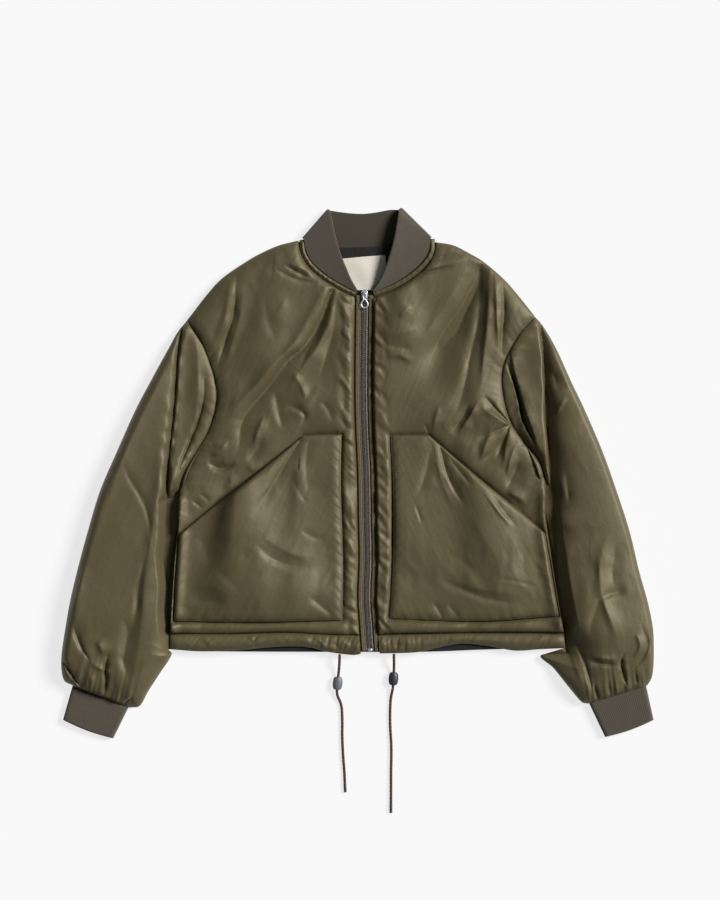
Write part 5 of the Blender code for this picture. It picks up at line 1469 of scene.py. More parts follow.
@dataclass
class Front(Part):
    """Front panel from shoulder to casing: full between its seams, level under its pocket."""

    cut: Cut
    pocket: Pocket
    columns: int = 165
    edge: float = 0.0022        # thickness at shoulder and side
    seam: float = 0.0046        # thickness at the other seams
    full: float = 0.0128
    shoulder_round: float = 0.030
    side_round: float = 0.004
    armhole_round: float = 0.018
    centre_round: tuple[float, float] = (0.010, 0.0034)     # of the right and left front
    centre_low: tuple[float, float] = (0.0, 0.10)   # share of its fullness that each lacks by the zip
    groove: float = 0.0018      # how far the front is pressed down along the pocket's sewn edges

    def __post_init__(self) -> None:
        """Lay out the plan grid and its seam lines."""
        cut = self.cut
        outer = cut.outer()
        rows = len(outer)
        neck_rows = rows // 5
        neck = cut.neck(neck_rows + 1)
        centre = zip_centre(rows - neck_rows, neck[-1, 1] - 0.0015, -0.2255)
        centre += (cut.side.sign * (PLACKET_OUTER + SEAM_GAP), 0.0)
        inner = np.vstack([neck, centre[1:]])
        top = smooth_line(SHOULDER[cut.name][::-1], self.columns + 1)
        top[0], top[-1] = outer[0], inner[0]
        bottom = cut.casing_seam(self.columns + 1)
        bottom[0], bottom[-1] = outer[-1], inner[-1]
        self.plan = patch(top, inner, bottom, outer)
        self.shoulder_line = smooth_line(SHOULDER[cut.name], 30)
        self.armhole_line = cut.armhole(40)
        self.side_line = smooth_line(SIDE[cut.name], 30)
        self.neck_line = cut.neck(30)
        self.centre_line = inner[neck_rows::6]
        self.casing_line = bottom[::5]

    def height(self, points: Array) -> Array:
        """Height of the front's upper side at plan points.

        The thickness is the seam's at a seam and rises in a quarter round to the full one.  The
        shoulder and side bring it down to a thin edge.  Creases, gathers and crumple follow, with
        small slanted facets beside the zip, and the part under the pocket is pressed level.

        Args:
            points: Plan points.

        Returns:
            Height at each of them.
        """
        name, sign = self.cut.name, self.cut.side.sign
        seed = self.cut.side.pick(21, 31)
        shoulder, along_shoulder, _ = beside(points, self.shoulder_line)
        side, along_side, _ = beside(points, self.side_line)
        armhole, along_armhole, _ = beside(points, self.armhole_line)
        neck, along_neck, _ = beside(points, self.neck_line)
        centre, along_centre, _ = beside(points, self.centre_line)
        casing, along_casing, _ = beside(points, self.casing_line)
        fade = round_over(shoulder, self.shoulder_round) * round_over(side, self.side_round)
        seams = (round_over(armhole, self.armhole_round) * round_over(neck, 0.012)
                 * round_over(centre, self.cut.side.pick(*self.centre_round)) * round_over(casing, 0.009))
        seams *= 1.0 - self.cut.side.pick(*self.centre_low) * (1.0 - blend_step(centre, 0.0, 0.030))
        full = self.seam + (self.full - self.seam) * seams
        folds = relief(points, "front_" + name)
        folds += crinkle(points, 10 * seed, 66.0)
        beside_zip = 1.0 - blend_step(centre, 0.012, 0.026)
        folds += 0.0021 * beside_zip * facets(points, 0.0085, seed + 8, -48.0, 2.3)
        gathers = Puckers(11.0, 0.6, 8.5, -0.9 * sign, seed, 0.85).height(centre, along_centre)
        gathers += Puckers(11.0, 0.8, 12.0, 0.4, seed + 1).height(armhole, along_armhole)
        gathers += Puckers(14.0, 0.45, 16.0, -0.5, seed + 2).height(neck, along_neck)
        gathers += Puckers(17.0, 0.5, 18.0, 0.3, seed + 3).height(shoulder, along_shoulder)
        gathers += Puckers(19.0, 0.5, 9.0, 0.8 * sign, seed + 4, 0.7).height(casing, along_casing)
        gathers += Puckers(10.0, 0.8, 10.0, -0.5, seed + 5).height(side, along_side)
        folds += SIDE_ROLL * bell(side, 0.004, 0.008)
        soft = round_over(armhole, 0.006) * round_over(neck, 0.006) * round_over(centre, 0.005)
        soft *= round_over(casing, 0.005)
        height = FRONT_BASE + self.edge + (full - self.edge) * fade
        height += (folds + gathers) * soft * fade
        return self.pressed_by_pocket(points, height, seed)

    def pressed_by_pocket(self, points: Array, height: Array, seed: int) -> Array:
        """Height once the pocket lies on the front.

        Args:
            points: Plan points.
            height: Height of the free front there.
            seed: Seed of the gathers beside the pocket.

        Returns:
            Height, level under the pocket, low along its sewn edges and rising beyond them.
        """
        lines = self.pocket.lines
        sewn = np.full(points.shape[:-1], np.inf)
        gathers = np.zeros(points.shape[:-1])
        lean = 1.1 * self.cut.side.sign
        for key, pitch, depth, skew in (("inner", 14.0, 0.7, lean), ("bottom", 19.0, 0.5, -lean),
                                        ("side", 12.0, 0.5, 0.4)):
            distance, along, _ = beside(points, lines[key])
            sewn = np.minimum(sewn, distance)
            gathers += Puckers(pitch, depth, 8.0, skew, seed + 9, 0.8).height(distance, along)
        open_edge = np.minimum(beside(points, lines["slant"])[0], beside(points, lines["top"])[0])
        seat = POCKET_BASE - LAYER_GAP
        low = seat - self.groove
        beside_sewn = low + (height + gathers * round_over(sewn, 0.004) - low) * round_over(sewn, 0.008)
        beside_open = seat + (height - seat) * round_over(np.maximum(open_edge - 0.001, 0.0), 0.026)
        share = blend_step(sewn - open_edge, -0.008, 0.008)
        outside = beside_sewn * (1.0 - share) + np.minimum(beside_open, height + 0.004) * share
        return np.where(inside_outline(points, self.pocket.outline()), seat - 0.0002, outside)

    def build(self) -> None:
        """Make the front in place of its solid."""
        top = np.maximum(self.height(self.plan), FRONT_BASE + 0.0006)
        piece = laid_shell("front_panel_" + self.cut.name, self.plan, top, FRONT_BASE, self.finishes.nylon)
        pad(piece, "front_" + self.cut.name)


@dataclass
class Back(Part):
    """Back panel under the fronts, its casing and the black facing that shows at the hem."""

    right: Cut
    left: Cut
    columns: int = 120
    edge_lift: float = 0.0068
    seam_lift: float = 0.0020
    edge_round: float = 0.015
    casing_lift: float = 0.0040
    facing_thickness: float = 0.0008
    facing_inset: float = 0.0009

    def plan(self) -> Array:
        """Plan grid from the shoulders and neck down to the casing.

        Returns:
            Grid of plan points.
        """
        third = self.columns // 3
        top = np.vstack([smooth_line(SHOULDER["right"][::-1], third + 1),
                         smooth_line(BACK_NECK, third + 1)[1:], smooth_line(SHOULDER["left"], third + 1)[1:]])
        near, far = self.right.outer()[::2], self.left.outer()[::2]
        seam = CASING_SEAM["right"][:3] + [(0.016, -0.2255)] + CASING_SEAM["left"][2::-1]
        bottom = smooth_line(seam, self.columns + 1)
        top[0], top[-1] = near[0], far[0]
        bottom[0], bottom[-1] = near[-1], far[-1]
        return patch(top, far, bottom, near)

    def build(self) -> None:
        """Make the back, its casing and the facing in place of their solids."""
        plan = self.plan()
        self.build_panel(plan)
        self.build_casing(plan[-1] - (0.0, SEAM_GAP))

    def build_panel(self, plan: Array) -> None:
        """The back: level on top, its underside lifted at the edges, with shallow creases that rise.

        Args:
            plan: Plan grid.
        """
        lift = np.zeros(plan.shape[:2])
        for side in Side:
            for table, height in ((SHOULDER, self.edge_lift), (SIDE, self.edge_lift),
                                  (ARMHOLE, self.seam_lift)):
                distance = beside(plan, smooth_line(table[side.value], 24))[0]
                lift = np.maximum(lift, height * (1.0 - round_over(distance, self.edge_round)))
        creases = 0.0022 * np.clip(crumple(plan, 0.060, 41, 75.0, 2.2), 0.0, 1.0) ** 1.5
        creases += 0.0005 * np.clip(crumple(plan, 0.022, 44, 20.0, 2.0), 0.0, 1.0)
        pad(laid_shell("back_panel", plan, BACK_TOP, lift + creases, self.finishes.nylon), "back")

    def build_casing(self, top: Array) -> None:
        """Casing of the back with the facing on it.

        Args:
            top: Seam between back and casing.
        """
        bottom = smooth_line(BACK_HEM, len(top))
        rows = 14
        left, right = (np.linspace(top[k], bottom[k], rows) for k in (0, -1))
        plan = patch(top, right, bottom, left)
        distance, along, _ = beside(plan, bottom[::4])
        lift = self.casing_lift * (1.0 - round_over(distance, 0.008))
        for edge in (left, right):
            side = beside(plan, edge)[0]
            lift = np.maximum(lift, 0.9 * self.edge_lift * (1.0 - round_over(side, self.edge_round)))
        lift += np.clip(Puckers(9.0, 0.9, 12.0, 0.5, 47).height(distance, along), 0.0, 1.0)
        facing_base = BACK_TOP - self.facing_thickness
        casing_top = facing_base - LAYER_GAP
        lift = np.minimum(lift, casing_top - 0.0012)
        piece = laid_shell("hem_casing_back_panel", plan, casing_top, lift, self.finishes.nylon)
        pad(piece, "hem_casing_back")
        strip = plan[:, 8:-8].copy()
        strip[0, :, 1] -= self.facing_inset
        strip[-1, :, 1] += self.facing_inset
        facing = laid_shell("hem_facing_strip", strip, BACK_TOP, facing_base, self.finishes.lining)
        dress(facing, "black_lining", "hem_facing")


@dataclass
class FrontCasing(Part):
    """Drawcord casing under a front: a narrow crowned tube, drawn into uneven slanted gathers."""

    cut: Cut
    columns: int = 300
    rows: int = 26
    edge: float = 0.0024
    full: float = 0.0094

    def __post_init__(self) -> None:
        """Lay out the plan grid."""
        top = self.cut.casing_seam(self.columns + 1) - (0.0, 2.0 * SEAM_GAP)
        bottom = smooth_line(FRONT_HEM[self.cut.name], self.columns + 1)
        right = zip_centre(self.rows, top[-1, 1], bottom[-1, 1])
        right += (self.cut.side.sign * (PLACKET_OUTER + SEAM_GAP), 0.0)
        left = np.linspace(top[0], bottom[0], self.rows)
        top[-1], bottom[-1] = right[0], right[-1]
        self.plan = patch(top, right, bottom, left)
        self.top_line, self.bottom_line, self.side_line = top[::6], bottom[::6], left

    def height(self, points: Array) -> Array:
        """Height of the casing: a round crown between seam and hem, with gathers that slant across it.

        Args:
            points: Plan points.

        Returns:
            Height at each of them.
        """
        seam, along, _ = beside(points, self.top_line)
        hem, _, _ = beside(points, self.bottom_line)
        side, _, _ = beside(points, self.side_line)
        across = seam / np.maximum(seam + hem, 1e-6)
        crown = np.sin(math.pi * np.clip(0.06 + 0.88 * across, 0.0, 1.0)) ** 0.55
        fade = 0.3 + 0.7 * round_over(side, 0.014)
        seed = self.cut.side.pick(51, 52)
        slant = -0.9 * self.cut.side.sign
        lean = along + slant * seam * (0.6 + 0.5 * np.sin(along / 0.045))
        near_zip = np.exp(-np.maximum(lengths(self.top_line)[-1] - along, 0.0) / 0.060)
        busy = 0.12 + 0.4 * blend_step(wander(along, 0.045, seed + 5), 0.1, 0.8) + 1.0 * near_zip
        puffs = 2.0 * np.abs(wander(lean, 0.0135, seed)) ** 0.6 - 1.2
        waves = 0.0006 * busy * puffs + 0.0003 * busy * wander(lean + 0.3 * seam, 0.0042, seed + 1)
        waves += 0.0016 * busy * facets(points, 0.0085, seed + 2, 50.0 * self.cut.side.sign, 1.9)
        body = np.sin(math.pi * np.clip(0.10 + 0.80 * across, 0.0, 1.0))
        return FRONT_BASE + self.edge + (self.full * crown - self.edge) * fade + waves * body * fade

    def build(self) -> None:
        """Make the casing in place of its solid."""
        top = np.maximum(self.height(self.plan), FRONT_BASE + 0.0006)
        piece = laid_shell("hem_casing_panel_" + self.cut.name, self.plan, top, FRONT_BASE,
                           self.finishes.nylon)
        pad(piece, "hem_casing_front_" + self.cut.name)


@dataclass
class NeckBinding(Part):
    """Narrow folded strip round the front neckline."""

    cut: Cut
    columns: int = 220
    rows: int = 18
    height_full: float = 0.0072

    def __post_init__(self) -> None:
        """Lay out the plan grid from the collar seam outwards."""
        inner = smooth_line(NECKLINE[self.cut.name] + [NECK_END[self.cut.name]], self.columns)
        ending = blend_step(np.arange(self.columns) / self.columns, 0.82, 1.0)
        inner = moved_sideways(inner, self.cut.side.sign * (0.0018 * ending - 0.5 * SEAM_GAP))
        outer = moved_sideways(inner, -self.cut.side.sign * (self.cut.binding_width - 0.5 * SEAM_GAP))
        share = np.linspace(0.0, 1.0, self.rows)[None, :, None]
        self.plan = inner[:, None] * (1.0 - share) + outer[:, None] * share

    def build(self) -> None:
        """Make the binding: a round section with a stitched groove, low where it meets the shoulder."""
        across = np.linspace(0.0, 1.0, self.rows)[None, :]
        along = np.arange(self.columns)[:, None] * 0.0006
        end = beside(self.plan, self.plan[-1])[0]
        crown = np.sin(math.pi * (0.08 + 0.84 * across)) ** 0.45
        crown = crown - 0.10 * bell(across, 0.72, 0.10)
        waves = 0.00028 * wander(along + 0.004 * across, 0.0055, 61) * np.sin(math.pi * across)
        top = FRONT_BASE + (self.height_full * crown + waves) * (0.45 + 0.55 * round_over(end, 0.022))
        piece = laid_shell("neck_binding_strip_" + self.cut.name, self.plan, top, FRONT_BASE,
                           self.finishes.nylon)
        pad(piece, "neck_binding_" + self.cut.name)


# Neck

@dataclass
class Collar(Part):
    """Rib band, folded double: two wings that taper to the zip, lying over the part behind the neck."""

    thickness: float = 0.0042
    rib_pitch: float = 0.0021
    rib_depth: float = 0.00009
    samples: int = 4            # rings for each rib
    wing_low: float = 0.0136    # middle height of a wing at its seam
    wing_high: tuple[float, float] = (0.0190, 0.0270)   # and at the free edges of the right and left
    back_low: float = 0.0047
    belly: float = 0.0012       # how far the middle of a face swells out
    seam_inset: float = 0.0008

    def edges(self) -> tuple[Array, Array]:
        """Lower and upper edge of the band's middle surface, from one front end round to the other.

        A half turn at the fold line joins each wing to the part behind the neck.

        Returns:
            Points of the lower edge and of the upper one.
        """
        count = 80
        share = np.linspace(0.0, 1.0, count)
        wings = {}
        for side, high_edge in zip(Side, self.wing_high):
            rise = (high_edge - self.wing_low) * np.sin(math.pi * share) ** 0.5
            low = smooth_line(NECKLINE[side.value] + [NECK_END[side.value]], count)
            low = moved_sideways(low, side.sign * self.seam_inset)
            high = smooth_line(COLLAR_FREE_EDGE[side.value], count)
            wings[side] = (np.column_stack([low, np.full(count, self.wing_low)]),
                           np.column_stack([high, self.wing_low + rise]))
        lying = np.full(count, 0.5 * self.thickness + 2.0 * self.rib_depth)
        back_low = np.column_stack([smooth_line(COLLAR_BACK_SEAM, count), np.full(count, self.back_low)])
        back_high = np.column_stack([smooth_line(COLLAR_BACK_TOP, count), lying])
        right, left = wings[Side.RIGHT], wings[Side.LEFT]
        back_low[0, :2], back_low[-1, :2] = right[0][-1, :2], left[0][-1, :2]
        first = self.half_turn(right[0][-1], right[1][-1], back_low[0], back_high[0])
        second = self.half_turn(back_low[-1], back_high[-1], left[0][-1], left[1][-1])
        low = np.vstack([right[0], first[0], back_low, second[0], left[0][::-1]])
        high = np.vstack([right[1], first[1], back_high, second[1], left[1][::-1]])
        return low, high

    @staticmethod
    def half_turn(low_start: Array, high_start: Array, low_end: Array,
                  high_end: Array) -> tuple[Array, Array]:
        """Lower and upper edge round the fold between a wing and the part behind the neck.

        Args:
            low_start: End of the lower edge before the fold.
            high_start: End of the upper edge before it.
            low_end: Start of the lower edge after it.
            high_end: Start of the upper edge after it.

        Returns:
            Both edges, on half circles.
        """
        fold = high_start[:2] - low_start[:2]
        outward = unit(np.array([-fold[1], fold[0]]))
        if outward[0] * (low_start[0] - NECK_MIDDLE) < 0.0:
            outward = -outward
        angles = np.radians(np.linspace(70.0, -70.0, 9))
        edges = []
        for start, end, bulge in ((low_start, low_end, 0.35), (high_start, high_end, 0.5)):
            radius = 0.5 * (start[2] - end[2])
            plan = start[:2] + outward * abs(radius) * bulge * np.cos(angles)[:, None]
            edges.append(np.column_stack([plan, 0.5 * (start[2] + end[2]) + radius * np.sin(angles)]))
        return edges[0], edges[1]

    def build(self) -> None:
        """Make the collar: a section round the band with a folded top edge, ribs as a wave along it.

        The side of the band that faces the neck is marked as its inner one, which the rib finish paints
        darker as shade.  It shows between the wings, where the band lies open behind the neck.
        """
        low, high = self.edges()
        along = lengths(0.5 * (low + high))
        ribs = int(round(along[-1] / self.rib_pitch))
        places = np.linspace(0.0, along[-1], self.samples * ribs + 1)
        low, high = read_at(low, along, places), read_at(high, along, places)
        across = high - low
        normal = unit(np.cross(np.gradient(0.5 * (low + high), axis=0), across))
        wave = np.cos(2.0 * math.pi * ribs * np.linspace(0.0, 1.0, len(places)))
        half = (0.5 * self.thickness + self.rib_depth * wave)[:, None] * normal
        shares = np.linspace(0.0, 1.0, 12)[1:-1]
        face = [low + half]
        face += [low + across * s * 0.96 + half + normal * self.belly * math.sin(math.pi * s) for s in shares]
        turn = np.radians(np.linspace(90.0, -90.0, 7))
        fold = [low + across * (0.96 + 0.04 * np.cos(a)) + half * math.sin(a) for a in turn]
        inside = [low + across * s * 0.96 - half for s in shares[::-1]]
        rings = np.stack(face + fold + inside + [low - half], axis=1)
        rings[..., 2] = np.maximum(rings[..., 2], 0.0)
        form = Form("collar_rib_band")
        form.add_tube(rings)
        piece = form.build(self.finishes.rib)
        # Painted shade: the points of the side that faces the neck are marked 1, for a darker tone
        inner = np.zeros(rings.shape[:2])
        inner[:, :len(face) + 3] = 1.0
        painted_shade_mask = piece.data.attributes.new("painted_shade_side", "FLOAT", "POINT")
        painted_shade_mask.data.foreach_set("value", inner.ravel())
        dress(piece, "rib_knit", "collar")


@dataclass
class NeckInside(Part):
    """Lining that shows inside the neck, a hanging tape across it, and the plain label."""

    thickness: float = 0.0008
    label_thickness: float = 0.0007
    inset: float = 0.0018
    rows: int = 84
    columns: int = 170

    def build(self) -> None:
        """Make the lining with the hanging tape woven across its top, then the label."""
        left = moved_sideways(smooth_line(NECKLINE["right"], self.rows)[::-1], self.inset)
        right = moved_sideways(smooth_line(NECKLINE["left"], self.rows)[::-1], -self.inset)
        top = smooth_line([left[0], (-0.045, 0.3166), (-0.027, 0.3150), (0.008, 0.3157), (0.040, 0.3177),
                           (0.075, 0.3188), right[0]], self.columns)
        bottom = np.linspace(left[-1], right[-1], self.columns)
        bottom[:, 1] -= 0.005 * np.sin(math.pi * np.linspace(0.0, 1.0, self.columns))
        plan = patch(top, right, bottom, left)
        base = FRONT_BASE + self.thickness
        weave = np.abs(np.sin(math.pi * plan[..., 0] / 0.0031) * np.sin(math.pi * plan[..., 1] / 0.0031))
        band = blend_step(plan[..., 1], 0.3036, 0.3050)
        top = base + 0.00035 * weave * band
        lining = laid_shell("neck_lining_panel", plan, top, FRONT_BASE, self.finishes.lining)
        dress(lining, "black_lining", "neck_lining")
        self.build_label(base)

    def build_label(self, base: float) -> None:
        """Make the label, its sides under the wings, with a soft curl.

        Args:
            base: Height of the lining's upper side.
        """
        count = 60
        top = smooth_line([(-0.0262, 0.2988), (-0.005, 0.3010), (0.012, 0.3026), (0.0386, 0.3044)], count)
        bottom = smooth_line([(-0.0048, 0.2550), (0.0040, 0.2556), (0.0094, 0.2561), (0.0150, 0.2556),
                              (0.0250, 0.2552)], count)
        right = smooth_line([top[-1], (0.0392, 0.2930), (0.0385, 0.2830), (0.0345, 0.2695), bottom[-1]],
                            count)
        left = smooth_line([top[0], (-0.0195, 0.2850), (-0.0128, 0.2720), bottom[0]], count)
        label = patch(top, right, bottom, left)
        u = np.linspace(-1.0, 1.0, count)[None, :]
        v = np.linspace(0.0, 1.0, count)[:, None]
        curl = 0.0014 * bell(u, 0.7 * v - 0.30, 0.50) * np.sin(math.pi * (0.12 + 0.8 * v))
        upper = base + 0.0006 + self.label_thickness + curl
        piece = laid_shell("neck_label_ribbon", label, upper, upper - self.label_thickness,
                           self.finishes.label)
        dress(piece, "cotton_label", "neck_label")


# Sleeves

@dataclass
class Sleeve(Part):
    """Balloon sleeve pressed flat: a padded tube from armhole to cuff, gathered at both ends."""

    cut: Cut
    columns: int = 132
    under_columns: int = 44
    rows: int = 300
    fold_height: float = 0.0095     # height of the two folded edges
    outer_round: float = 0.014
    inner_round: float = 0.026
    inner_slope: tuple[float, float] = (0.016, 0.022)       # slope beside the body, right and left
    low_strip: tuple[float, float] = (0.0125, 0.0005)       # strip before it that lies low, at its widest
    low_ends: tuple[float, float] = (0.005, 0.0005)         # and at its ends
    corner_share: tuple[float, float] = (0.10, 0.70)        # how far the corner at the hem is flattened
    shelf: float = 0.0045           # height of the right sleeve's level part over its armhole seam
    seam_top: float = 0.0139        # height of the body's surface along the armhole
    wall: float = 0.011
    tuck: float = 0.0010            # how far its folded edge lies under the body's lifted side
    tucked_height: float = 0.0032   # height of the fold there

    def __post_init__(self) -> None:
        """Lay out the plan grid: one line across the sleeve for each row."""
        name, sign = self.cut.name, self.cut.side.sign
        share = np.linspace(0.0, 1.0, self.columns + 1)
        seam = moved_sideways(self.cut.armhole(self.columns + 1), 0.5 * sign * SEAM_GAP)
        bulge = seam - (seam[0] + (seam[-1] - seam[0]) * share[:, None])
        depth = np.linalg.norm(bulge, axis=1).max()
        table = np.array(SLEEVE[name])
        first = [*seam[0], *seam[-1], table[0, 4], depth]
        table = np.vstack([first, table])
        places = np.linspace(0.0, len(table) - 1.0, self.rows + 1)
        values = catmull_rom(table, places)
        outer, inner = values[:, 0:2], values[:, 2:4]
        body_side = np.vstack([smooth_line(SIDE[name], 60), FRONT_HEM[name][0]])
        fall, begin = -inner[:, 1], -SIDE[name][0][1]
        touching = np.interp(fall, -body_side[:, 1], body_side[:, 0]) - sign * self.tuck
        self.under = blend_step(fall, begin + 0.001, begin + 0.020) * (1.0 - blend_step(fall, 0.2435, 0.2500))
        inner[:, 0] += self.under * (touching - inner[:, 0])
        self.crown = values[:, 4]
        self.plan = (outer[:, None] + (inner - outer)[:, None] * share[None, :, None]
                     + (bulge / depth)[None] * values[:, 5, None, None])
        down = -self.plan[..., 1]
        self.tucked = blend_step(down, begin - 0.012, begin + 0.012) * (1.0 - blend_step(down, 0.190, 0.246))
        self.corner = blend_step(down, 0.205, 0.246) * (1.0 - blend_step(down, 0.262, 0.300))
        self.corner *= self.cut.side.pick(*self.corner_share)
        wide, narrow = self.cut.side.pick(*self.low_strip), self.cut.side.pick(*self.low_ends)
        self.low_zone = self.tucked * (narrow + (wide - narrow) * blend_step(down, -0.004, 0.025)
                                       * (1.0 - blend_step(down, 0.110, 0.165)))
        self.seam_line = self.cut.armhole(40)
        self.end_line = self.plan[-1, ::4]

    def heights(self) -> tuple[Array, Array]:
        """Upper and lower heights of the tube on the plan grid.

        Each row rises in a quarter round from both folded edges to its crown.  Beside the body it
        rises in a longer slope, past a strip that lies low.  Near the armhole it comes down to the
        seam, and near the cuff it is drawn into gathers.

        Returns:
            Heights of the upper side and of the lower one.
        """
        along = np.stack([lengths(row) for row in self.plan])
        width = along[:, -1:]
        outer_round = np.minimum(self.outer_round, 0.42 * width)
        inner_round = np.minimum(self.inner_round, 0.42 * width)
        from_outer = beside(self.plan, self.plan[::5, 0])[0]
        from_inner = beside(self.plan, self.plan[::5, -1])[0]
        zone, near, corner = self.low_zone, self.tucked, self.corner
        slope = 0.97 * blend_step(from_inner - zone, -0.001, self.cut.side.pick(*self.inner_slope))
        slope += 0.03 * round_over(from_inner, 0.004)
        steep = round_over(from_inner, inner_round) * (1.0 - near) + slope * near
        steep = steep * (1.0 - corner) + blend_step(from_inner, -0.004, 0.058) * corner
        if self.cut.side is Side.LEFT:
            rise = 0.6 * round_over(from_outer, 0.6 * outer_round) + 0.4 * round_over(from_outer, 0.055)
        else:
            rise = round_over(from_outer, outer_round)
        rise = rise * steep
        outer_edge = np.minimum(self.fold_height, 0.45 * np.maximum(self.crown, 0.0112))[:, None]
        lowered = np.maximum(self.under, 0.8 * self.corner[:, -1])[:, None]
        inner_edge = outer_edge + (self.tucked_height - outer_edge) * lowered
        edge = outer_edge + (inner_edge - outer_edge) * blend_step(along / width, 0.2, 0.8)
        top = edge + (self.crown[:, None] - edge) * rise
        seed = self.cut.side.pick(71, 81)
        folds = relief(self.plan, "sleeve_" + self.cut.name)
        folds += 0.45 * crinkle(self.plan, 10 * seed, -70.0 * self.cut.side.sign)
        armhole, along_armhole, _ = beside(self.plan, self.seam_line)
        cuff, along_cuff, _ = beside(self.plan, self.end_line)
        gathers = Puckers(11.0, 0.9, 14.0, 0.5, seed + 3).height(armhole, along_armhole)
        gathers += Puckers(9.0, 2.6, 20.0, 0.15, seed + 4).height(cuff, along_cuff)
        end = 0.35 + 0.65 * round_over(cuff, 0.016)
        top += (folds + gathers * end) * rise * round_over(armhole, 0.010) * end
        to_foot = lengths(self.seam_line)[-1] - along_armhole
        seam_height = (self.tucked_height + (0.0100 - self.tucked_height) * round_over(to_foot, 0.024)
                       + (self.seam_top - 0.0100) * round_over(np.minimum(along_armhole, to_foot), 0.030))
        top = seam_height + (top - seam_height) * round_over(armhole, 0.013)
        if self.cut.side is Side.RIGHT:
            shelf = seam_height + (self.shelf + 0.6 * (folds + gathers)) * round_over(armhole, 0.012)
            top += self.beyond_fold() * (np.minimum(top, shelf) - top)
        from_edge = np.minimum(from_outer, from_inner)
        lift = 1.0 - round_over(from_edge, 0.015)
        hollow = crumple(self.plan, 0.055, seed + 6, 70.0 * self.cut.side.sign, 2.4)
        hollow = 0.0016 * np.clip(hollow, 0.0, 1.0) * (1.0 - lift) * round_over(cuff, 0.02)
        bottom = edge * lift + hollow
        bottom = np.where(armhole < 0.0015, np.maximum(bottom, 0.0020), bottom)
        top = np.maximum(top, bottom + 0.0015)
        top[:, 0] = bottom[:, 0] = edge[:, 0]
        top[:, -1] = bottom[:, -1] = edge[:, -1]
        return top, bottom

    def beyond_fold(self) -> Array:
        """Mark the part between the sleeve's long fold and its armhole seam.

        Returns:
            1 there, blending to 0 across the fold and at both ends.
        """
        fold = smooth_line(np.array(CREASES["sleeve_" + self.cut.name][0].route) * MM, 20)
        away, _, flank = beside(self.plan, fold)
        y = self.plan[..., 1]
        return (blend_step(away * flank, -0.003, 0.006) * blend_step(y, -0.010, 0.050)
                * (1.0 - blend_step(y, 0.165, 0.205)))

    def build(self) -> None:
        """Make the sleeve in place of its solid: an outer tube, a flat inner one, joined at both ends."""
        top, bottom = self.heights()
        step = self.columns // self.under_columns
        under = np.dstack([self.plan, bottom])[:, ::-1][:, step:-step:step]
        outer = np.concatenate([np.dstack([self.plan, top]), under], axis=1)
        rows = np.linspace(0, self.rows, 7).astype(int)
        form = Form("sleeve_panel_" + self.cut.name)
        form.add_hollow(outer, np.stack([self.inner_ring(row, step) for row in rows]))
        pad(form.build(self.finishes.nylon, 70.0), "sleeve_" + self.cut.name)

    def inner_ring(self, row: int, step: int) -> Array:
        """Ring of the flat hollow inside the sleeve, a wall's width in from its outline.

        Args:
            row: Row of the plan grid.
            step: Columns of the upper side for one of the lower.

        Returns:
            Points, as many as the outer ring has.
        """
        line = self.plan[row]
        share = np.linspace(0.0, 1.0, len(line))
        width = np.linalg.norm(line[-1] - line[0])
        inset = min(self.wall / width, 0.14)
        places = inset + share * (1.0 - 2.0 * inset)
        line = read_at(line, share, places)
        middle = 0.0056 if row == self.rows else 0.0080
        half = (0.0004 if row in (0, self.rows) else 0.0011) * np.sin(math.pi * share) ** 0.5
        upper = np.column_stack([line, middle + half])
        lower = np.column_stack([line, middle - half])[::-1][step:-step:step]
        return np.vstack([upper, lower])


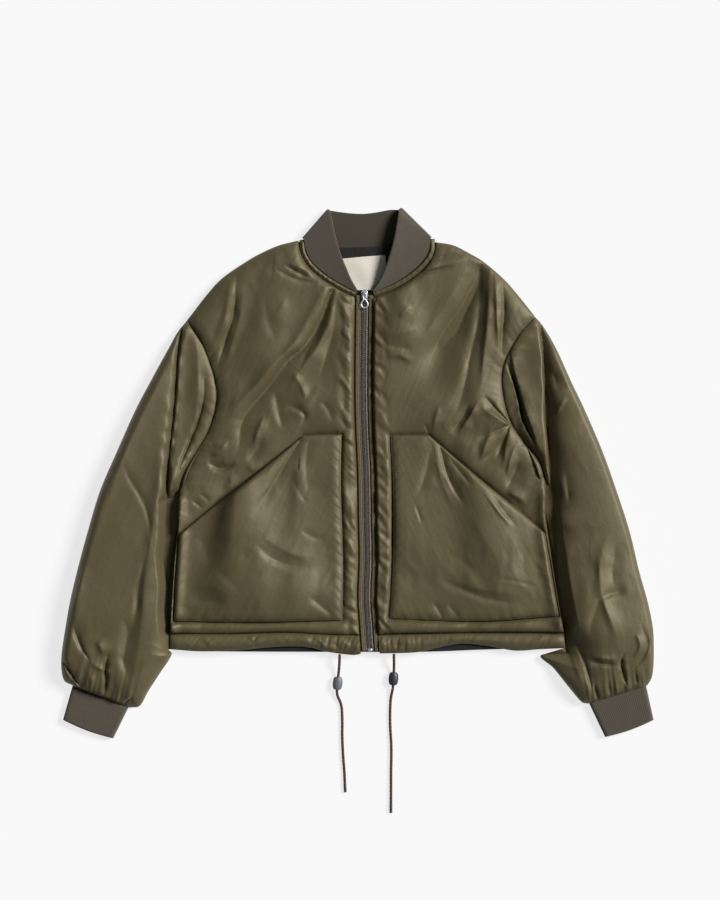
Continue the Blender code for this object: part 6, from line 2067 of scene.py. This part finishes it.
@dataclass
class Cuff(Part):
    """Rib cuff: a folded rib tube, pressed flat, its ribs running from the sleeve to the edge."""

    side: Side
    height: float = 0.0112
    wall: float = 0.0042
    rib_pitch: float = 0.0024
    rib_depth: float = 0.0002
    samples: int = 4
    rows: int = 36
    inset: float = 0.025        # share of the sleeve's end that the cuff stands in at each side
    edge_round: float = 0.006

    def corners(self) -> tuple[Array, Array, Array, Array]:
        """Work out the corners, a little in from the sleeve's end.

        Returns:
            Outer and inner corner at the sleeve, then at the free edge.
        """
        last = SLEEVE[self.side.value][-1]
        outer, inner = np.array(last[0:2]), np.array(last[2:4])
        run = inner - outer
        past = unit(np.array([run[1], -run[0]])) * self.side.sign * -SEAM_GAP
        ends = np.array(CUFF_END[self.side.value])
        return outer + run * self.inset + past, inner - run * self.inset + past, ends[0], ends[1]

    def build(self) -> None:
        """Make the cuff: the section is a flat oval with ribs as a wave, thinner at the folded edge."""
        corners = self.corners()
        start_outer, _, end_outer, end_inner = corners
        ribs = int(round(np.linalg.norm(end_inner - end_outer) / self.rib_pitch))
        share = np.linspace(0.0, 1.0, self.samples * ribs + 1)
        down = np.linspace(0.0, 1.0, self.rows)
        rings = [self.ring(t, share, ribs, 0.0, *corners) for t in down]
        hollow = [self.ring(t, share, ribs, self.wall, *corners) for t in (0.0, 0.5, 1.0)]
        form = Form("cuff_rib_tube_" + self.side.value)
        form.add_hollow(np.stack(rings), np.stack(hollow))
        piece = form.build(self.finishes.rib, 70.0)
        dress(piece, "rib_knit", "cuff_" + self.side.value)

    def ring(self, down: float, share: Array, ribs: int, inset: float, *corners: Array) -> Array:
        """Ring across the cuff.

        Args:
            down: Share of the way from sleeve to free edge.
            share: Places across.
            ribs: Number of ribs across.
            inset: How far the ring lies inside the outline; 0 for the outer surface.
            corners: The four corners.

        Returns:
            Points over and back under.
        """
        first = corners[0] * (1.0 - down) + corners[2] * down
        last = corners[1] * (1.0 - down) + corners[3] * down
        width = np.linalg.norm(last - first)
        places = inset / width + share * (1.0 - 2.0 * inset / width)
        line = first + (last - first) * places[:, None]
        bow = 0.0025 * down * np.sin(math.pi * share)
        line = line + unit(corners[2] - corners[0]) * bow[:, None]
        from_edge = np.minimum(share, 1.0 - share) * width
        arch = round_over(from_edge, self.edge_round)
        middle = 0.5 * self.height
        if inset:
            high, low = middle + 0.0008 * arch, middle - 0.0008 * arch
        else:
            press = (0.62 + 0.38 * round_over(np.array(1.0 - down), 0.07)
                     - 0.22 * (1.0 - round_over(np.array(down), 0.12)))
            wave = self.rib_depth * np.cos(2.0 * math.pi * ribs * share)
            high = middle + (middle * press + wave) * arch
            low = middle * (1.0 - arch)
        over = np.column_stack([line, high])
        under = np.column_stack([line, low])[-2:0:-1]
        return np.vstack([over, under])


# Zip

@dataclass
class Zip(Part):
    """Closed zip: tapes, plackets with their stitching, and separate teeth that interlock."""

    count: int = 460
    top: float = 0.2482
    bottom: float = -0.2490
    chain_half: float = 0.0032
    chain_bottom: float = 0.0118
    chain_top: float = 0.0156
    core_half: float = 0.0022       # half width of the cords that the teeth grip
    tooth_pitch: float = 0.0026
    slider_end: float = 0.2437
    stop_length: float = 0.0042
    stop_half: float = 0.0021       # half the stop's height
    tape_half: float = 0.0105
    tape_bottom: float = 0.0128
    tape_top: float = 0.0139
    tape_groove: float = 0.0054     # where the tape steps down beside the placket
    placket_inner: float = 0.0067
    placket_top: float = 0.0160
    placket_low: float = 0.0134
    placket_stitch: float = 0.34    # where its stitches run, as a share of its width
    pivot: tuple[float, float, float] = (0.009359, 0.2505, 0.0178)
    pull_half: float = 0.00062      # half the pull's thickness
    # Right half of the pull's centre line from its pin to the ring's end: x, y and half width in mm
    pull_loop: tuple[tuple[float, float, float], ...] = (
        (0.0, 0.0, 0.60), (1.7, -0.05, 0.60), (2.2, -1.2, 0.65), (2.2, -4.4, 0.72), (1.45, -6.6, 1.05),
        (1.35, -8.8, 1.15), (3.3, -11.6, 1.20), (4.6, -14.5, 1.15), (4.0, -17.6, 1.15), (2.3, -19.4, 1.20),
        (0.0, -20.0, 1.20))

    def build(self) -> None:
        """Make every part of the zip but the slider, which keeps its solid and takes the nickel finish."""
        for side in Side:
            self.build_placket(side)
            self.build_tape(side)
        self.build_teeth()
        self.build_stop()
        self.build_pull()
        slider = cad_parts["zip_slider"]
        slider.data.materials.clear()
        slider.data.materials.append(self.finishes.nickel)

    @staticmethod
    def carried(line: Array, offsets: Array, heights: Array) -> Array:
        """One section carried along a plan line.

        Args:
            line: Centre line in plan.
            offsets: Sideways place of each point of the section.
            heights: Height of each point.

        Returns:
            Rings of points.
        """
        rings = np.zeros((len(line), len(offsets), 3))
        rings[..., 0] = line[:, :1] + offsets
        rings[..., 1] = line[:, 1:]
        rings[..., 2] = heights
        return rings

    def sweep(self, name: str, line: Array, offsets: Array, heights: Array, finish: Material,
              wave: Array | None = None) -> Object:
        """Closed bar with one section along a plan line.

        Args:
            name: Name of the piece.
            line: Centre line in plan.
            offsets: Sideways place of each point of the section.
            heights: Height of each point.
            finish: Material.
            wave: Height to add along the line where the section is above its middle.

        Returns:
            The object.
        """
        rings = self.carried(line, offsets, heights)
        if wave is not None:
            rings[..., 2] += wave[:, None] * (heights > 0.5 * (heights.min() + heights.max()))
        form = Form(name)
        form.add_tube(rings)
        return form.build(finish)

    def build_pull(self) -> None:
        """Pull tab at rest: a round bar bent to a pin, a waist and a large ring, all in one loop."""
        mirrored = [(-x, y, half) for x, y, half in self.pull_loop[-2:0:-1]]
        knots = np.array([*self.pull_loop, *mirrored, self.pull_loop[0]]) * MM
        dense = smooth_line(knots, 241)[:-1]
        forward = unit(np.roll(dense[:, :2], -1, axis=0) - np.roll(dense[:, :2], 1, axis=0))
        outward = np.column_stack([forward[:, 1], -forward[:, 0]])
        angle = turns(20)
        x0, y0, z0 = self.pivot
        rings = np.zeros((len(dense), len(angle), 3))
        level, upright = squared_off(np.cos(angle), 0.7), squared_off(np.sin(angle), 0.7)
        rings[..., :2] = dense[:, None, :2] + outward[:, None] * (dense[:, 2:3] * level)[..., None] + (x0, y0)
        rings[..., 2] = z0 + np.minimum(dense[:, 2:3], self.pull_half) * upright
        form = Form("zip_pull_ring")
        form.add_ring(rings)
        dress(form.build(self.finishes.nickel), "nickel_slider", "zip_pull", body="pull")

    def build_placket(self, side: Side) -> None:
        """A folded strip beside the tape: round on top with a stitched groove, slotted for the tape.

        Args:
            side: Side of the zip.
        """
        line = zip_centre(self.count, self.top, self.bottom)
        share = np.linspace(0.0, 1.0, 25)
        offsets = self.placket_inner + (PLACKET_OUTER - self.placket_inner) * share
        crown = round_over(share + 0.03, 0.16) * (1.0 - blend_step(share, 0.62, 0.86))
        heights = self.placket_low + (self.placket_top - self.placket_low) * crown
        heights -= 0.0002 * bell(share, self.placket_stitch, 0.06)
        gap = LAYER_GAP
        slot = [(PLACKET_OUTER, FRONT_BASE), (self.placket_inner, FRONT_BASE),
                (self.placket_inner, self.tape_bottom - gap), (self.tape_half + gap, self.tape_bottom - gap),
                (self.tape_half + gap, self.tape_top + gap), (self.placket_inner, self.tape_top + gap)]
        offsets = np.concatenate([offsets, [x for x, _ in slot]]) * side.sign
        heights = np.concatenate([heights, [z for _, z in slot]])
        wave = 0.00016 * wander(line[:, 1], 0.0052, side.pick(90, 92))
        wave += 0.0002 * wander(line[:, 1], 0.022, 93)
        piece = self.sweep("placket_strip_" + side.value, line, offsets, heights, self.finishes.nylon, wave)
        pad(piece, "placket_" + side.value)

    def build_tape(self, side: Side) -> None:
        """Woven tape from the teeth to inside the placket, with a corded edge.

        Args:
            side: Side of the zip.
        """
        line = zip_centre(self.count, self.top, self.bottom)
        start = self.chain_half + LAYER_GAP
        low = self.tape_top - 0.0007
        section = [(start, self.tape_bottom), (self.tape_half, self.tape_bottom), (self.tape_half, low),
                   (self.tape_groove + 0.0003, low), (self.tape_groove, self.tape_top),
                   (start + 0.0012, self.tape_top), (start + 0.0009, self.tape_top + 0.0003),
                   (start + 0.0003, self.tape_top + 0.0003), (start, self.tape_top)]
        offsets = np.array([x for x, _ in section]) * side.sign
        heights = np.array([z for _, z in section])
        piece = self.sweep("zip_tape_strip_" + side.value, line, offsets, heights, self.finishes.tape)
        dress(piece, "zip_tape", "zip_tape_" + side.value)

    def build_teeth(self) -> None:
        """Two rows of teeth, half a pitch apart, each a bevelled block from its tape past the middle."""
        half_y, reach, edge = 0.33 * self.tooth_pitch, self.chain_half + 0.0007, 0.00035
        low, high = self.chain_bottom, self.chain_top
        middle_z = 0.5 * (low + high)
        half_z = 0.5 * (high - low)
        points = []
        for z, inset in ((-half_z, edge), (edge - half_z, 0.0), (half_z - edge, 0.0), (half_z, edge)):
            x0, x1, y = -0.5 * reach + inset, 0.5 * reach - inset, half_y - inset
            points += [(x0, -y, z), (x1, -y * 0.75, z), (x1, y * 0.75, z), (x0, y, z)]
        faces = [[0, 1, 2, 3], [12, 13, 14, 15]]
        for level in range(3):
            for k in range(4):
                after = (k + 1) % 4
                faces.append([4 * level + k, 4 * level + after, 4 * level + 4 + after, 4 * level + 4 + k])
        block = np.array(points)
        form = Form("zip_teeth")
        rows = np.arange(self.bottom + self.stop_length + self.tooth_pitch, self.slider_end, self.tooth_pitch)
        for side in Side:
            y = rows + (0.5 * self.tooth_pitch if side is Side.LEFT else 0.0)
            dense = zip_centre(900, self.top, self.bottom)
            x = np.interp(-y, -dense[:, 1], dense[:, 0])
            shift = side.sign * (self.chain_half - 0.5 * reach)
            places = np.column_stack([x + shift, y, np.full(len(y), middle_z)])
            form.add_copies(block * (side.sign * -1.0, 1.0, 1.0), faces, places)
        line = zip_centre(self.count // 2, self.slider_end, self.bottom + self.stop_length + LAYER_GAP)
        half, foot, crest = self.core_half, low + 0.0006, high - 0.0013
        form.add_tube(self.carried(line, np.array([-half, half, half, -half]),
                                   np.array([foot, foot, crest, crest])))
        dress(form.build(self.finishes.teeth, 30.0), "zip_teeth", "zip_chain")

    def build_stop(self) -> None:
        """Box at the chain's foot: a block whose corners are rounded as a superellipse."""
        middle = zip_centre(3, self.bottom + self.stop_length, self.bottom)[1]
        around, power = turns(40), 0.35
        swing = np.linspace(-0.5 * math.pi, 0.5 * math.pi, 15)[1:-1, None]
        share = np.cos(swing) ** power
        rings = np.zeros((len(swing), len(around), 3))
        rings[..., 0] = middle[0] + self.chain_half * share * squared_off(np.cos(around), power)
        rings[..., 1] = middle[1] + 0.5 * self.stop_length * share * squared_off(np.sin(around), power)
        rings[..., 2] = (0.5 * (self.chain_bottom + self.chain_top)
                         + self.stop_half * squared_off(np.sin(swing), power))
        form = Form("zip_stop_box")
        form.add_tube(rings)
        dress(form.build(self.finishes.nickel, 40.0), "zip_teeth", "zip_bottom_stop")


# Stitching

@dataclass
class Stitches(Part):
    """Rows of lockstitch: short threads that rise from one hole and sink into the next."""

    fronts: dict[Side, Front]
    zipper: Zip
    pitch: float = 0.0034
    share: float = 0.74         # part of the pitch that shows as thread
    radius: float = 0.00034
    sides: int = 6
    rings: int = 5

    def row(self, form: Form, line: Array, height: Array) -> None:
        """Add a row of stitches.

        Args:
            form: Piece that gathers them.
            line: Plan line of the row.
            height: Height of the cloth at each of its points.
        """
        path = np.column_stack([line, height])
        along = lengths(path)
        starts = np.arange(0.3 * self.pitch, along[-1] - self.pitch, self.pitch)
        t = np.linspace(0.0, 1.0, self.rings)
        places = starts[:, None] + t[None] * self.pitch * self.share
        centre = read_at(path, along, places)
        centre[..., 2] += self.radius * (1.5 * np.sin(math.pi * t) - 0.8)
        level, up = Drawcord.across(unit(centre[:, -1] - centre[:, 0]))
        angle = turns(self.sides)
        thick = self.radius * (0.55 + 0.45 * np.sin(math.pi * np.clip(t, 0.08, 0.92)))
        circle = np.cos(angle)[:, None, None] * level + np.sin(angle)[:, None, None] * up
        rings = centre[:, :, None] + thick[None, :, None, None] * circle.transpose(1, 0, 2)[:, None]
        for ring in rings:
            form.add_tube(ring)

    def build(self) -> None:
        """Stitch the sewn edges of the pockets and both plackets."""
        zipper = self.zipper
        for side, front in self.fronts.items():
            name, pocket = side.value, front.pocket
            form = Form("stitching_" + name)
            inner = moved_sideways(smooth_line(POCKET_INNER[name], 400), side.sign * STITCH_INSET)
            bottom = moved_sideways(smooth_line(POCKET_BOTTOM[name], 400), side.sign * -STITCH_INSET)
            for line in (inner[6:-4], bottom[6:-6]):
                self.row(form, line, pocket.height(line))
            centre = zip_centre(500, zipper.top - 0.004, zipper.bottom + 0.004)
            width = PLACKET_OUTER - zipper.placket_inner
            line = centre + (side.sign * (zipper.placket_inner + zipper.placket_stitch * width), 0.0)
            self.row(form, line, np.full(len(line), zipper.placket_top - 0.0002))
            dress(form.build(self.finishes.thread, 80.0), "olive_nylon")


def main() -> None:
    """Build the jacket's looks around its frame."""
    logging.basicConfig(level=logging.INFO, format="%(name)s: %(message)s")
    Studio().build()
    finishes = Finishes()
    for side in Side:
        Drawcord(finishes, side).build()
    right, left = cuts = Cut(Side.RIGHT), Cut(Side.LEFT)
    Back(finishes, right, left).build()
    fronts = {}
    for cut in cuts:
        pocket = Pocket(finishes, cut)
        fronts[cut.side] = Front(finishes, cut, pocket)
        for part in (pocket, fronts[cut.side], FrontCasing(finishes, cut), NeckBinding(finishes, cut),
                     Sleeve(finishes, cut), Cuff(finishes, cut.side)):
            part.build()
    Collar(finishes).build()
    NeckInside(finishes).build()
    zipper = Zip(finishes)
    zipper.build()
    Stitches(finishes, fronts, zipper).build()


if __name__ == "__main__":
    main()
